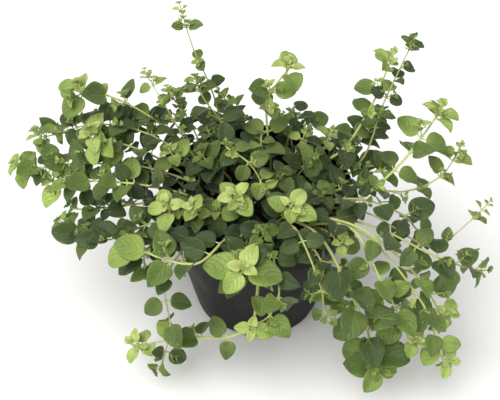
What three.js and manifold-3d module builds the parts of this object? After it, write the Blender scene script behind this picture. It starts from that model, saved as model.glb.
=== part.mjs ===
// An oregano plant in a round plastic nursery pot: the pot, its soil, and every leafy stem as a piece of its
// own. Millimetres, +Z up. The origin is the middle of the pot's foot, and the longest stems hang over on the
// -Y side.
import * as THREE from "three";
import { mergeVertices } from "three/addons/utils/BufferGeometryUtils.js";
import Module from "manifold-3d";

const wasm = await Module();
wasm.setup();

// Driving dimensions of the pot.
const POT_HEIGHT = 96;
const RIM_RADIUS = 60;
const RIM_BAND = 13; // height of the thicker band under the rim
const BAND_STEP = 2.4; // how far the band stands out from the wall
const FOOT_RADIUS = 41;
const WALL = 1.6;
const FOOT_RING = 5; // width of the ring that the pot stands on
const PAD_RADIUS = 20; // flat middle of the base, level with the ring
const DRAIN_RAISE = 3.2; // height of the channel between ring and pad
const DRAIN_HOLES = 8;
const DRAIN_RADIUS = 3.4;
const DRAIN_SIDES = 8;
const FOOT_NOTCHES = 8; // gaps in the foot ring that let water out
const NOTCH_ANGLE = 20; // degrees that one gap spans
const FIRST_NOTCH = -72.5; // bearing of one gap, degrees from +X
const POT_SIDES = 32;

// Driving dimensions of the soil and of the growth.
const SOIL_LEVEL = 86;
const SOIL_GAP = 0.4;
const ROOT_DEPTH = 8; // how far a stem stands in its hole
const HOLE_CLEARANCE = 0.5;
const STALK_GIRTH = 0.9; // thickness of a leaf stalk
const BLADE_THICKNESS = 1.3; // at the midrib
const LEAF_WIDTH = 0.84; // width of a blade for its length
const SHORTEST_STALK = 0.6;
const STALK_SHARE = 0.13; // what a stalk is longer than that, for its blade's length
const LARGE_LEAF = 18; // from this length on, a blade has a stalk of its own and three pairs of edge points
const LEAF_TILT = 0.9; // spread of the ways that leaves face, about the light
const NODE_LENGTH = 1.3; // stretch of stem that a leaf pair grows out of
const MIN_GAP = 2.6; // least distance between leaf pairs, at the tip
const YOUNG_PAIRS = [[0, 0.42], [0.3, 0.68], [0.45, 0.92]]; // at the tip: the step back, in gaps, and size
const RING_SPACING = 22; // between the rings of a bare stretch, at most
const STEP = 2; // between the points of a stem's line
const UPRIGHT = 2; // straight stretch of a stem above the soil
const LIFT = 8; // from there to the point from which a stem bends freely
const RISE = ROOT_DEPTH + UPRIGHT + LIFT;
const UPTURN = 4.5; // how far a rosette turns up, or out if its stem hangs, to each side of its last point
const FLOOR_CLEARANCE = 4;
const POT_CLEARANCE = 2;
const SOIL_CLEARANCE = 3;
const RIM_LIP = 4; // the rim's reach inwards, as leaves see it
const LEAF_CLEARANCE = 2.5; // between leaves of different stems
const OWN_CLEARANCE = 1.7; // between leaves of one stem
const STEM_CLEARANCE = 1.7;
const OWN_STEM_CLEARANCE = 1.5;
const LEAST_OUTWARD = 0.6; // how far a leaf points away from its stem: the cosine of the widest turn
const SAMPLE_SPACING = 2.2; // between the points of a blade that are tested for room
const CUBE = 6; // size of the cubes of space that the test looks in
// The small turns that a leaf tries in order until it has room: sideways, then up or down, in degrees, and
// its size.
const TURNS = [
  [0, 0, 1], [0, 14, 1], [0, -14, 1], [18, 8, 1], [-18, 8, 1], [22, -10, 0.95], [-22, -10, 0.95],
  [0, 30, 0.95], [0, -30, 0.95], [38, 0, 0.9], [-38, 0, 0.9], [0, 46, 0.85], [12, 0, 0.75], [-12, 20, 0.75],
  [30, 30, 0.7], [-30, 30, 0.7], [0, 0, 0.6], [0, 35, 0.55],
];

// Every leafy stem: the bearing (degrees from +X) and radius where it leaves the soil, the points it passes
// through on the way to its tip, its longest leaf, the distance between leaf pairs, the bare length at its
// foot, its girth, how far the leaves at its tip are bunched (0 loose, 1 a tight rosette), and its tone
// (0 dark green, 1 lime).
const STEMS = [
  // The back, from left to right: thin upright shoots.
  [124, 36, [[-27, 42, 135], [-40, 44, 178], [-46, 49, 202]], 9, 24, 45, 1.2, 0.6, 0.5],
  [150, 44, [[-50, 28, 124], [-62, 36, 146], [-69, 44, 156]], 8, 13, 40, 1.1, 0.5, 0.6],
  [138, 46, [[-46, 46, 118], [-57, 52, 134]], 9, 11, 22, 1.1, 0.5, 0.6],
  [116, 30, [[-22, 34, 120], [-34, 36, 142], [-38, 42, 150]], 14, 12, 20, 1.4, 0.7, 0.35],
  [98, 42, [[-10, 46, 116], [-20, 40, 136], [-24, 38, 146]], 8, 13, 24, 1.2, 0.3, 0.3],
  [72, 26, [[6, 28, 118], [6, 34, 142], [14, 38, 156], [19, 38, 168]], 15, 14, 24, 1.8, 0.8, 0.75],
  [58, 42, [[20, 41, 110], [16, 39, 124]], 8, 9, 16, 1.2, 0.4, 0.3],
  [50, 36, [[25, 31, 104], [29, 33, 112]], 12, 9, 10, 1.3, 0.8, 0.8],
  [36, 46, [[42, 29, 104], [46, 31, 117]], 12, 10, 10, 1.4, 0.8, 0.75],
  // The right side: upright shoots, then arms that reach out.
  [22, 38, [[62, 10, 110], [76, 24, 148], [93, 42, 184]], 10, 11, 62, 1.4, 0.7, 0.1],
  [36, 30, [[50, 17, 112], [70, 27, 146], [81, 40, 172]], 15, 17, 45, 1.8, 1, 0.85],
  [28, 48, [[64, 30, 112], [76, 36, 130]], 14, 9, 16, 1.4, 0.5, 0.05],
  [-14, 36, [[58, -16, 104], [86, 0, 119], [112, 26, 142]], 16, 15, 30, 2.2, 1, 0.7],
  [-2, 47, [[62, -4, 103], [92, -4, 100], [114, 4, 106], [126, 18, 117]], 13, 15, 38, 1.4, 0.6, 0.6],
  [-20, 46, [[66, -28, 106], [106, -44, 93], [122, -32, 95], [141, -18, 106]], 9, 20, 60, 1.2, 0.3, 0.4],
  [-30, 46, [[70, -40, 107], [106, -57, 99], [138, -50, 79]], 16, 16, 45, 1.6, 0.6, 0.35],
  [-24, 32, [[62, -23, 113], [88, -28, 104], [103, -26, 84]], 16, 16, 35, 1.8, 0.4, 0.05],
  [-38, 38, [[58, -44, 112], [88, -56, 92], [106, -65, 68], [113, -73, 66]], 16, 13, 62, 2, 1, 0.7],
  [-46, 42, [[55, -46, 112], [72, -66, 90], [88, -76, 58], [94, -85, 55]], 18, 12, 60, 2, 1, 0.8],
  [-56, 30, [[36, -52, 112], [56, -76, 84], [70, -84, 44], [73, -93, 38]], 21, 12, 66, 2.1, 1, 0.45],
  [-31, 49, [[64, -43, 103], [98, -74, 76], [110, -82, 44], [116, -89, 40]], 14, 10, 78, 1.6, 1, 0.9],
  [-42, 46, [[44, -42, 102], [49, -50, 105]], 13, 9, 10, 1.6, 1, 0.9],
  // The front, from right to left.
  [-60, 46, [[31, -52, 104], [38, -63, 98], [40, -69, 84]], 12, 9, 18, 1.4, 0.8, 0.65],
  [-50, 47, [[42, -54, 103], [50, -63, 88], [54, -68, 68]], 12, 11, 26, 1.4, 0.6, 0.45],
  [-68, 32, [[22, -52, 118], [36, -77, 97], [42, -81, 72]], 14, 17, 45, 1.4, 0.7, 0.4],
  [-98, 34, [[-7, -44, 98], [-9, -62, 100], [-9, -73, 109]], 21, 11, 22, 1.9, 1, 0.85],
  [-81, 47, [[9, -62, 103], [12, -77, 90], [6, -86, 80], [-3, -91, 75]], 16, 12, 25, 1.5, 1, 0.65],
  [-92, 47, [[0, -62, 103], [-1, -75, 84], [-5, -76, 58], [-20, -73, 42], [-46, -67, 34], [-78, -71, 32]],
    15, 19, 86, 2, 0.6, 0.85],
  [-114, 40, [[-22, -50, 104], [-36, -64, 102], [-58, -58, 100], [-78, -42, 98]], 18, 14, 22, 1.9, 0.7, 0.75],
  [-130, 48, [[-41, -49, 103], [-55, -64, 88], [-54, -73, 50], [-62, -84, 24]], 15, 19, 30, 1.3, 0.3, 0.1],
  // The left side, from front to back.
  [-150, 48, [[-64, -34, 104], [-92, -38, 93], [-122, -16, 85]], 15, 11, 30, 1.3, 0.5, 0.3],
  [-142, 48, [[-50, -38, 103], [-68, -42, 88], [-73, -43, 70]], 15, 10, 18, 1.5, 0.4, 0.1],
  [-166, 46, [[-62, -16, 103], [-92, -14, 96], [-116, -8, 90]], 16, 10, 20, 1.5, 0.5, 0.15],
  [-172, 42, [[-72, -8, 110], [-104, -4, 109], [-128, 2, 105]], 16, 9, 28, 1.7, 1, 0.85],
  [176, 36, [[-70, 6, 111], [-112, 8, 112], [-151, 11, 108]], 16, 10, 30, 1.4, 0.6, 0.6],
  [168, 30, [[-62, 22, 120], [-100, 33, 122], [-140, 34, 113]], 15, 11, 24, 1.4, 0.7, 0.55],
  [174, 48, [[-62, 8, 104], [-86, 14, 104]], 16, 9, 16, 1.5, 0.4, 0.1],
  [166, 46, [[-64, 16, 110], [-86, 16, 122], [-103, 15, 131]], 16, 9, 22, 1.8, 1, 0.95],
  [156, 34, [[-62, 32, 124], [-94, 38, 142], [-112, 42, 145]], 16, 14, 26, 1.7, 0.9, 0.6],
  [144, 30, [[-48, 34, 112], [-74, 40, 115], [-90, 43, 114]], 16, 10, 22, 1.6, 0.4, 0.1],
  // The middle: short stems that fill the crown.
  [-146, 40, [[-48, -28, 106], [-55, -33, 119]], 14, 9, 10, 1.8, 1, 0.95],
  [-116, 20, [[-11, -22, 108], [-14, -28, 122]], 13, 9, 10, 1.7, 1, 0.95],
  [-136, 40, [[-34, -34, 106], [-39, -36, 122]], 9, 6, 12, 1.1, 1, 0.8],
  [-140, 24, [[-22, -22, 104], [-25, -31, 112]], 16, 9, 8, 1.4, 0.8, 0.35],
  [120, 26, [[-18, 22, 112], [-18, 2, 131], [-5, -10, 130], [4, -19, 117]], 12, 12, 24, 1.4, 0.5, 0.7],
  [-62, 28, [[17, -30, 106], [19, -37, 122]], 15, 9, 10, 1.9, 1, 0.85],
  [160, 40, [[-46, 12, 106], [-54, 12, 119]], 15, 9, 10, 1.6, 0.9, 0.6],
  [-8, 40, [[54, -6, 106], [67, -4, 111]], 17, 9, 12, 1.6, 0.5, 0.15],
  [12, 46, [[58, 9, 103], [78, 5, 111]], 17, 9, 12, 1.6, 0.5, 0.2],
  [24, 26, [[30, 12, 106], [36, 12, 116]], 17, 9, 8, 1.6, 0.5, 0.15],
  [-30, 26, [[32, -16, 104], [40, -18, 114]], 17, 9, 10, 1.6, 0.5, 0.15],
  [-80, 32, [[6, -38, 102], [3, -48, 110]], 15, 9, 10, 1.5, 0.7, 0.3],
  [-20, 8, [[10, -4, 104], [15, -3, 114]], 17, 9, 8, 1.6, 0.5, 0.15],
  [88, 16, [[2, 20, 106], [2, 24, 118]], 17, 9, 8, 1.6, 0.5, 0.2],
  [134, 30, [[-26, 26, 106], [-32, 32, 120]], 17, 9, 10, 1.6, 0.5, 0.12],
  [150, 20, [[-26, 11, 106], [-36, 12, 118]], 16, 9, 10, 1.6, 0.5, 0.2],
  // The far side: stems that hang close to the wall.
  [108, 48, [[-20, 60, 103], [-26, 72, 78], [-26, 76, 48]], 16, 12, 22, 1.5, 0.6, 0.4],
  [66, 47, [[26, 60, 104], [34, 71, 84], [42, 76, 60]], 14, 14, 26, 1.5, 0.6, 0.4],
];

// A seeded stream of numbers from 0 to 1.
function stream(seed) {
  let state = seed;
  const next = () => {
    state = (state * 1664525 + 1013904223) % 4294967296;
    return state / 4294967296;
  };
  for (let i = 0; i < 4; i++) next();
  return next;
}

const vector = (x, y, z) => new THREE.Vector3(x, y, z);
const UP = vector(0, 0, 1);
const SKY = vector(0, -0.4, 1); // where light comes from: above, and the side that the plant grew towards
const radians = (degrees) => (degrees * Math.PI) / 180;
const inBearing = (r, degrees) => [r * Math.cos(radians(degrees)), r * Math.sin(radians(degrees))];

// The line of a stem: points STEP apart, upright in the soil and smooth from there to the tip, each with the
// direction of growth and the direction that one flat side of the square stem faces.
function centreline([bearing, radius, route, , , , , bunch], turn) {
  const [x, y] = inBearing(radius, bearing);
  const line = [];
  for (let z = SOIL_LEVEL - ROOT_DEPTH; z < SOIL_LEVEL + UPRIGHT; z += STEP) line.push(vector(x, y, z));
  const through = [vector(x, y, SOIL_LEVEL + UPRIGHT), vector(x, y, SOIL_LEVEL + UPRIGHT + LIFT)];
  for (const point of route) through.push(vector(...point));
  const [before, tip] = through.slice(-2);
  const fall = Math.min(0, tip.clone().sub(before).normalize().z);
  const upturn = vector(tip.x, tip.y, 0).normalize().multiplyScalar(0.4 - fall).addScaledVector(UP, 1 + fall);
  upturn.multiplyScalar(UPTURN * bunch);
  through.push(tip.clone().add(upturn));
  tip.sub(upturn);
  const fine = new THREE.CatmullRomCurve3(through, false, "centripetal").getPoints(60 * (through.length - 1));
  line.push(fine[0]);
  let left = STEP;
  for (let i = 1; i < fine.length; i++) {
    let from = fine[i - 1];
    let span = from.distanceTo(fine[i]);
    while (span >= left) {
      from = from.clone().lerp(fine[i], left / span);
      line.push(from);
      span = from.distanceTo(fine[i]);
      left = STEP;
    }
    left -= span;
  }
  let side = vector(...inBearing(1, bearing + turn), 0);
  return line.map((at, i) => {
    const ahead = line[Math.min(i + 1, line.length - 1)];
    const along = ahead.clone().sub(line[Math.max(i - 1, 0)]).normalize();
    side = side.clone().addScaledVector(along, -side.dot(along)).normalize();
    return { at, along, side, across: along.clone().cross(side) };
  });
}

// Half the thickness of a stem at a point of its line: it tapers to half at the tip.
const halfGirth = (girth, i, line) => (girth / 2) * (1 - (0.5 * i) / (line.length - 1));

// Half width of a blade, as a share of its full width, at a share u of its length.
const outline = (u) => 1.16 * Math.sqrt(u) * Math.pow(1 - u, 0.75);

// A point of a blade: u runs from the stalk's end to the tip, v from the right edge (-1) to the left (1).
function leafPoint(leaf, u, v) {
  const half = leaf.width * outline(u);
  const rise = leaf.cup * half * v * v - leaf.droop * leaf.length * u * u;
  return leaf.root
    .clone()
    .addScaledVector(leaf.along, leaf.stalk + u * leaf.length * (1 - 0.3 * leaf.droop * u))
    .addScaledVector(leaf.side, v * half)
    .addScaledVector(leaf.facing, rise);
}

// Points spread over a blade, close enough together that two blades cannot cross unseen.
function samplesOf(leaf) {
  const points = [];
  const rows = Math.max(2, Math.ceil(leaf.length / SAMPLE_SPACING));
  for (let i = 0; i <= rows; i++) {
    const u = 0.04 + (0.96 * i) / rows;
    const columns = Math.ceil((leaf.width * outline(u)) / SAMPLE_SPACING);
    for (let j = -columns; j <= columns; j++) points.push(leafPoint(leaf, u, columns ? j / columns : 0));
  }
  return points;
}

// Everything already in place, kept in cubes of space so that only near things are compared.
const taken = new Map();
const cubeOf = (p) => [Math.floor(p.x / CUBE), Math.floor(p.y / CUBE), Math.floor(p.z / CUBE)];
function occupy(point, stem, owner, reach) {
  const key = cubeOf(point).join();
  if (!taken.has(key)) taken.set(key, []);
  taken.get(key).push({ point, stem, owner, reach });
}

// The pot's outer radius at a height, and whether a point keeps clear of pot, soil and floor.
const WALL_SLOPE = (RIM_RADIUS - BAND_STEP - FOOT_RADIUS) / (POT_HEIGHT - RIM_BAND);
const wallRadius = (z) => FOOT_RADIUS + WALL_SLOPE * z;
const outerRadius = (z) => (z > POT_HEIGHT - RIM_BAND ? RIM_RADIUS : wallRadius(z));
function clearOfPot(p) {
  if (p.z < FLOOR_CLEARANCE) return false;
  if (p.z > POT_HEIGHT + POT_CLEARANCE) return true;
  const r = Math.hypot(p.x, p.y);
  if (p.z > SOIL_LEVEL + SOIL_CLEARANCE && r < RIM_RADIUS - RIM_LIP - POT_CLEARANCE) return true;
  return r > outerRadius(p.z) + POT_CLEARANCE;
}

// Whether a point of a leaf keeps clear of the pot and of everything in place, its own stem included.
function isClear(p, stem, owner) {
  if (!clearOfPot(p)) return false;
  const [cx, cy, cz] = cubeOf(p);
  for (let x = cx - 1; x <= cx + 1; x++)
    for (let y = cy - 1; y <= cy + 1; y++)
      for (let z = cz - 1; z <= cz + 1; z++)
        for (const other of taken.get([x, y, z].join()) ?? []) {
          const own = other.stem === stem;
          let room = own ? OWN_CLEARANCE : LEAF_CLEARANCE;
          if (other.reach) room = other.reach + (own ? OWN_STEM_CLEARANCE : STEM_CLEARANCE);
          if (other.owner !== owner && p.distanceToSquared(other.point) < room * room) return false;
        }
  return true;
}

// A leaf that grows from a stem's side towards aim and turns its upper face to the light.
function makeLeaf(root, aim, light, length, droop, cup) {
  const along = aim.clone().normalize();
  const facing = light.clone().addScaledVector(along, -light.dot(along)).normalize();
  const side = facing.clone().cross(along);
  const stalk = SHORTEST_STALK + STALK_SHARE * length;
  return { root, along, facing, side, length, width: LEAF_WIDTH * length, stalk, droop, cup };
}

// Where leaf pairs sit, measured back from the tip, with their size as a share of the longest leaf.
function pairsOf(length, gap, bare, bunch, random) {
  const pairs = [];
  let back = NODE_LENGTH;
  for (const [step, share] of YOUNG_PAIRS) {
    back += Math.max(MIN_GAP, step * gap * (1 - 0.5 * bunch));
    pairs.push({ back, share });
  }
  while (back + gap < length - bare) {
    back += gap * (0.8 + 0.4 * random());
    pairs.push({ back, share: 1 - 0.2 * (back / length) });
  }
  return pairs.filter(({ back }) => back < length - Math.max(0.6 * bare, RISE + 3));
}

// The leaf pairs that a stem would grow, each pair across the last, before their leaves look for room.
function planLeaves(line, [, , , longest, gap, bare, girth, bunch], stem) {
  const random = stream(101 + 37 * stem);
  const length = STEP * (line.length - 1);
  return pairsOf(length, gap, bare + ROOT_DEPTH, bunch, random).map(({ back, share }, pair) => {
    const i = Math.round((length - back) / STEP);
    const { at, along, side, across } = line[i];
    const node = { i, leaves: [], wanted: [] };
    const normal = pair % 2 ? across : side;
    const out = vector(at.x, at.y, 0).normalize().multiplyScalar(0.15);
    const sunward = SKY.clone().add(out).addScaledVector(along, 0.15 + 1.3 * (1 - share));
    for (const sign of [1, -1]) {
      const size = longest * share * (0.86 + 0.28 * random());
      const lean = radians(22 + 18 * (1 - share) + 14 * (random() - 0.5));
      const droop = 0.08 + 0.22 * share * random();
      const cup = 0.2 + 0.3 * random() * (1.4 - share);
      const turn = 44 * (random() - 0.5);
      const tilt = vector(random() - 0.5, random() - 0.5, 0).multiplyScalar(LEAF_TILT);
      const face = normal.clone().multiplyScalar(sign);
      const root = at.clone().addScaledVector(face, halfGirth(girth, i, line));
      const aim = face.clone().multiplyScalar(Math.cos(lean)).addScaledVector(along, Math.sin(lean));
      const flat = Math.hypot(along.x, along.y);
      aim.z = aim.z * (1 - 0.7 * flat) + 0.15 * flat;
      const corner = (pair % 2) + (sign < 0 ? 2 : 0);
      node.wanted.push({ root, face, aim, light: sunward.clone().add(tilt), size, droop, cup, turn, corner });
    }
    return node;
  });
}

// Grows a wanted leaf at the first small turn that gives it room, and marks its place as taken.
function growLeaf({ root, face, aim, light, size, droop, cup, turn, corner }, stem, owner) {
  for (const [yaw, pitch, scale] of TURNS) {
    const turned = aim.clone().normalize().applyAxisAngle(UP, radians(turn + yaw));
    turned.z += Math.tan(radians(pitch));
    const leaf = makeLeaf(root, turned, light, size * scale, droop, cup);
    const points = samplesOf(leaf);
    if (leaf.along.dot(face) < LEAST_OUTWARD || !points.every((p) => isClear(p, stem, owner))) continue;
    for (const p of points) occupy(p, stem, owner, 0);
    return [{ ...leaf, corner }];
  }
  return [];
}

// Every stem's leaf pairs: the young pairs at all the tips find their room first.
function growPlant(lines) {
  const stems = lines.map((line, stem) => planLeaves(line, STEMS[stem], stem));
  for (const young of [true, false]) {
    stems.forEach((nodes, stem) =>
      nodes.forEach((node, pair) => {
        if (pair < YOUNG_PAIRS.length !== young) return;
        node.leaves = node.wanted.flatMap((leaf) => growLeaf(leaf, stem, `${stem}/${pair}/${leaf.corner}`));
      }),
    );
  }
  return stems;
}

// A mesh's geometry from points and triangles, and the manifold-3d solid of a geometry.
function geometryOf(points, faces) {
  const geometry = new THREE.BufferGeometry();
  const places = points.flatMap((p) => [p.x, p.y, p.z]);
  geometry.setAttribute("position", new THREE.Float32BufferAttribute(places, 3));
  geometry.setIndex(faces.flat());
  geometry.computeVertexNormals();
  return geometry;
}

function solidOf(geometry) {
  const bare = new THREE.BufferGeometry();
  bare.setAttribute("position", geometry.getAttribute("position"));
  bare.setIndex(geometry.getIndex());
  const merged = mergeVertices(bare, 1e-4);
  const index = merged.getIndex().array;
  const triangles = [];
  for (let i = 0; i < index.length; i += 3) {
    const [a, b, c] = [index[i], index[i + 1], index[i + 2]];
    if (a !== b && b !== c && c !== a) triangles.push(a, b, c);
  }
  const vertProperties = merged.getAttribute("position").array;
  const triVerts = new Uint32Array(triangles);
  return new wasm.Manifold(new wasm.Mesh({ numProp: 3, vertProperties, triVerts }));
}

function geometryOfSolid(solid) {
  const { vertProperties, triVerts } = solid.getMesh();
  const geometry = new THREE.BufferGeometry();
  geometry.setAttribute("position", new THREE.BufferAttribute(vertProperties, 3));
  geometry.setIndex(new THREE.BufferAttribute(triVerts, 1));
  geometry.computeVertexNormals();
  return geometry;
}

// The square stem as one skin: a ring of four corners at each end, two rings at each leaf pair, and more on
// bare stretches. Each leaf grows out of the patch of skin between the two rings of its pair.
function leafyStem(line, girth, nodes) {
  const last = line.length - 1;
  const points = [];
  const faces = [];
  const add = (point) => points.push(point) - 1;
  const ringAt = (i, shift) => {
    const { at, along, side, across } = line[i];
    const r = halfGirth(girth, i, line);
    const middle = at.clone().addScaledVector(along, shift);
    return [[1, -1], [1, 1], [-1, 1], [-1, -1]].map(([a, b]) =>
      add(middle.clone().addScaledVector(side, a * r).addScaledVector(across, b * r)),
    );
  };
  const risen = RISE / STEP;
  const stations = [{ ring: ringAt(0, 0) }, { ring: ringAt(risen, 0) }];
  const grown = nodes.filter((node) => node.leaves.length).sort((a, b) => a.i - b.i);
  let from = risen;
  for (const { i, leaves } of [...grown, { i: last, leaves: [] }]) {
    const plain = Math.floor(((i - from) * STEP) / RING_SPACING);
    for (let k = 1; k <= plain; k++) {
      stations.push({ ring: ringAt(Math.round(from + ((i - from) * k) / (plain + 1)), 0) });
    }
    if (leaves.length) {
      stations.push({ ring: ringAt(i, -NODE_LENGTH / 2), leaves });
      stations.push({ ring: ringAt(i, NODE_LENGTH / 2) });
    } else stations.push({ ring: ringAt(i, 0) });
    from = i;
  }
  for (let k = 1; k < stations.length; k++) {
    const [low, high] = [stations[k - 1].ring, stations[k].ring];
    for (let j = 0; j < 4; j++) {
      const patch = [low[j], low[(j + 1) % 4], high[(j + 1) % 4], high[j]];
      const leaf = stations[k - 1].leaves?.find(({ corner }) => corner === j);
      if (leaf) growBlade(leaf, patch, points, faces);
      else faces.push([patch[0], patch[1], patch[2]], [patch[0], patch[2], patch[3]]);
    }
  }
  const [bottom, top] = [stations[0].ring, stations[stations.length - 1].ring];
  faces.push([bottom[0], bottom[2], bottom[1]], [bottom[0], bottom[3], bottom[2]]);
  faces.push([top[0], top[1], top[2]], [top[0], top[2], top[3]]);
  return geometryOf(points, faces);
}

// A leaf from its patch of the stem's skin: a stalk, then a blade that is thickest along its midrib and thins
// out to its edge. The patch's corners are turned so that the two highest ones meet the upper face.
function growBlade(leaf, patch, points, faces) {
  const add = (point) => points.push(point) - 1;
  const height = (k) => points[patch[k % 4]].dot(leaf.facing);
  let first = 0;
  for (let k = 1; k < 4; k++) {
    if (height(k + 1) + height(k + 2) > height(first + 1) + height(first + 2)) first = k;
  }
  let [leftUnder, left, right, rightUnder] = [0, 1, 2, 3].map((k) => patch[(first + k) % 4]);
  const large = leaf.length >= LARGE_LEAF;
  if (large) {
    const end = leaf.root.clone().addScaledVector(leaf.along, leaf.stalk);
    const corner = (s, n) => {
      const out = end.clone().addScaledVector(leaf.side, s * STALK_GIRTH);
      return add(out.addScaledVector(leaf.facing, n * STALK_GIRTH));
    };
    const [l, r, under] = [corner(0.5, 0.35), corner(-0.5, 0.35), corner(0, -0.5)];
    faces.push([left, right, r], [left, r, l], [right, rightUnder, under], [right, under, r]);
    faces.push([leftUnder, left, l], [leftUnder, l, under], [rightUnder, leftUnder, under]);
    [leftUnder, left, right, rightUnder] = [under, l, r, under];
  }
  const half = leaf.facing.clone().multiplyScalar(BLADE_THICKNESS / 2);
  const rib = large ? [0.24, 0.6] : [0.42];
  const tops = rib.map((u) => add(leafPoint(leaf, u, 0).add(half)));
  const bottoms = rib.map((u) => add(leafPoint(leaf, u, 0).sub(half)));
  const edge = large ? [0.13, 0.42, 0.76] : [0.24, 0.64];
  const tip = add(leafPoint(leaf, 1, 0));
  // One quarter of the blade, from its start to the tip between an edge and a rib. Flip turns its triangles.
  const quarter = (start, side, mid, flip) => {
    const lay = (a, b, c) => faces.push(flip ? [a, c, b] : [a, b, c]);
    lay(start, side[0], mid[0]);
    lay(side[0], side[1], mid[0]);
    if (large) {
      lay(side[1], mid[1], mid[0]);
      lay(side[1], side[2], mid[1]);
    }
    lay(side[side.length - 1], tip, mid[mid.length - 1]);
  };
  const rights = edge.map((u) => add(leafPoint(leaf, u, -1)));
  const lefts = edge.map((u) => add(leafPoint(leaf, u, 1)));
  quarter(right, rights, tops, false);
  quarter(left, lefts, tops, true);
  quarter(rightUnder, rights, bottoms, true);
  quarter(leftUnder, lefts, bottoms, false);
  faces.push([left, right, tops[0]], [right, rightUnder, rights[0]], [leftUnder, left, lefts[0]]);
  if (leftUnder !== rightUnder) faces.push([rightUnder, leftUnder, bottoms[0]]);
}

const material = (color, roughness) => new THREE.MeshStandardMaterial({ color, roughness, metalness: 0 });
const plastic = material("#2f3032", 0.45);
const earth = material("#2c211b", 0.95);
const DARK_LEAF = new THREE.Color("#3c6a34");
const LIME_LEAF = new THREE.Color("#a8c050");
const leafGreen = (tone) => material(DARK_LEAF.clone().lerp(LIME_LEAF, tone), 0.6);

const upright = new THREE.Matrix4().makeRotationX(Math.PI / 2);
const turnedSolid = (profile, sides) => {
  const lathe = new THREE.LatheGeometry(profile.map(([r, z]) => new THREE.Vector2(r, z)), sides);
  return solidOf(lathe.applyMatrix4(upright));
};
const peg = (radius, bottom, top, x, y, sides) => {
  const geometry = new THREE.CylinderGeometry(radius, radius, top - bottom, sides);
  geometry.applyMatrix4(upright).translate(x, y, (top + bottom) / 2);
  return solidOf(geometry);
};

// The pot: a tapered wall with a rim band, a raised drain channel with holes, and a foot ring with gaps.
function potSolid() {
  const shoulder = POT_HEIGHT - RIM_BAND;
  const wallTop = wallRadius(shoulder);
  const ringInner = FOOT_RADIUS - FOOT_RING;
  const floor = DRAIN_RAISE + WALL;
  let pot = turnedSolid(
    [
      [0, 0],
      [PAD_RADIUS, 0],
      [PAD_RADIUS + 2, DRAIN_RAISE],
      [ringInner - 1, DRAIN_RAISE],
      [ringInner, 0],
      [FOOT_RADIUS, 0],
      [wallTop, shoulder],
      [RIM_RADIUS - 0.4, shoulder + 0.6],
      [RIM_RADIUS, POT_HEIGHT - 1],
      [RIM_RADIUS - 1, POT_HEIGHT],
      [RIM_RADIUS - 3, POT_HEIGHT],
      [wallTop - WALL, shoulder - 2],
      [FOOT_RADIUS - WALL + 0.6, floor],
      [PAD_RADIUS + 1, floor],
      [PAD_RADIUS, WALL + 1],
      [0, WALL + 1],
    ],
    POT_SIDES,
  );
  for (let k = 0; k < DRAIN_HOLES; k++) {
    const [x, y] = inBearing((PAD_RADIUS + ringInner + 1) / 2, FIRST_NOTCH + (360 / DRAIN_HOLES) * k);
    pot = pot.subtract(peg(DRAIN_RADIUS, -1, floor + 1, x, y, DRAIN_SIDES));
  }
  for (let k = 0; k < FOOT_NOTCHES; k++) {
    const notch = new THREE.BoxGeometry(
      FOOT_RING + 6,
      2 * FOOT_RADIUS * Math.tan(radians(NOTCH_ANGLE / 2)),
      2 * DRAIN_RAISE,
    );
    notch.translate(FOOT_RADIUS - FOOT_RING / 2 + 1, 0, 0);
    notch.applyMatrix4(new THREE.Matrix4().makeRotationZ(radians(FIRST_NOTCH + (360 / FOOT_NOTCHES) * k)));
    pot = pot.subtract(solidOf(notch));
  }
  return pot;
}

// The soil: a lump that fills the pot to SOIL_LEVEL, with an uneven top and a plain hole for each stem.
const SOIL_SIDES = 24;
const SOIL_RINGS = [18, 36];
function unevenness(x, y) {
  const mounds = Math.sin(0.21 * x + 1) * Math.cos(0.17 * y);
  return 1.1 * mounds + 0.7 * Math.sin(0.33 * y - 0.12 * x);
}
function soilSolid(feet) {
  const inset = WALL + 0.6 + SOIL_GAP;
  const bottom = DRAIN_RAISE + WALL + SOIL_GAP;
  const rings = [
    ...SOIL_RINGS.map((r) => [r, SOIL_LEVEL]),
    [wallRadius(SOIL_LEVEL - 6) - inset, SOIL_LEVEL],
    [wallRadius(bottom) - inset, bottom],
  ];
  const points = [vector(0, 0, SOIL_LEVEL)];
  const faces = [];
  const around = (k, j) => 1 + k * SOIL_SIDES + (j % SOIL_SIDES);
  for (const [r, z] of rings)
    for (let j = 0; j < SOIL_SIDES; j++) {
      const [x, y] = inBearing(r, (360 / SOIL_SIDES) * j);
      points.push(vector(x, y, z === SOIL_LEVEL ? z + unevenness(x, y) : z));
    }
  const base = points.push(vector(0, 0, bottom)) - 1;
  for (let j = 0; j < SOIL_SIDES; j++) {
    faces.push([0, around(0, j), around(0, j + 1)], [base, around(3, j + 1), around(3, j)]);
    for (let k = 0; k < rings.length - 1; k++) {
      faces.push([around(k, j), around(k + 1, j), around(k + 1, j + 1)]);
      faces.push([around(k, j), around(k + 1, j + 1), around(k, j + 1)]);
    }
  }
  let soil = solidOf(geometryOf(points, faces));
  for (const { x, y, width, facing } of feet) {
    const hole = new THREE.BoxGeometry(width, width, 2 * ROOT_DEPTH + 2 * HOLE_CLEARANCE);
    hole.applyMatrix4(new THREE.Matrix4().makeRotationZ(facing)).translate(x, y, SOIL_LEVEL);
    soil = soil.subtract(solidOf(hole));
  }
  return soil;
}

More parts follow.
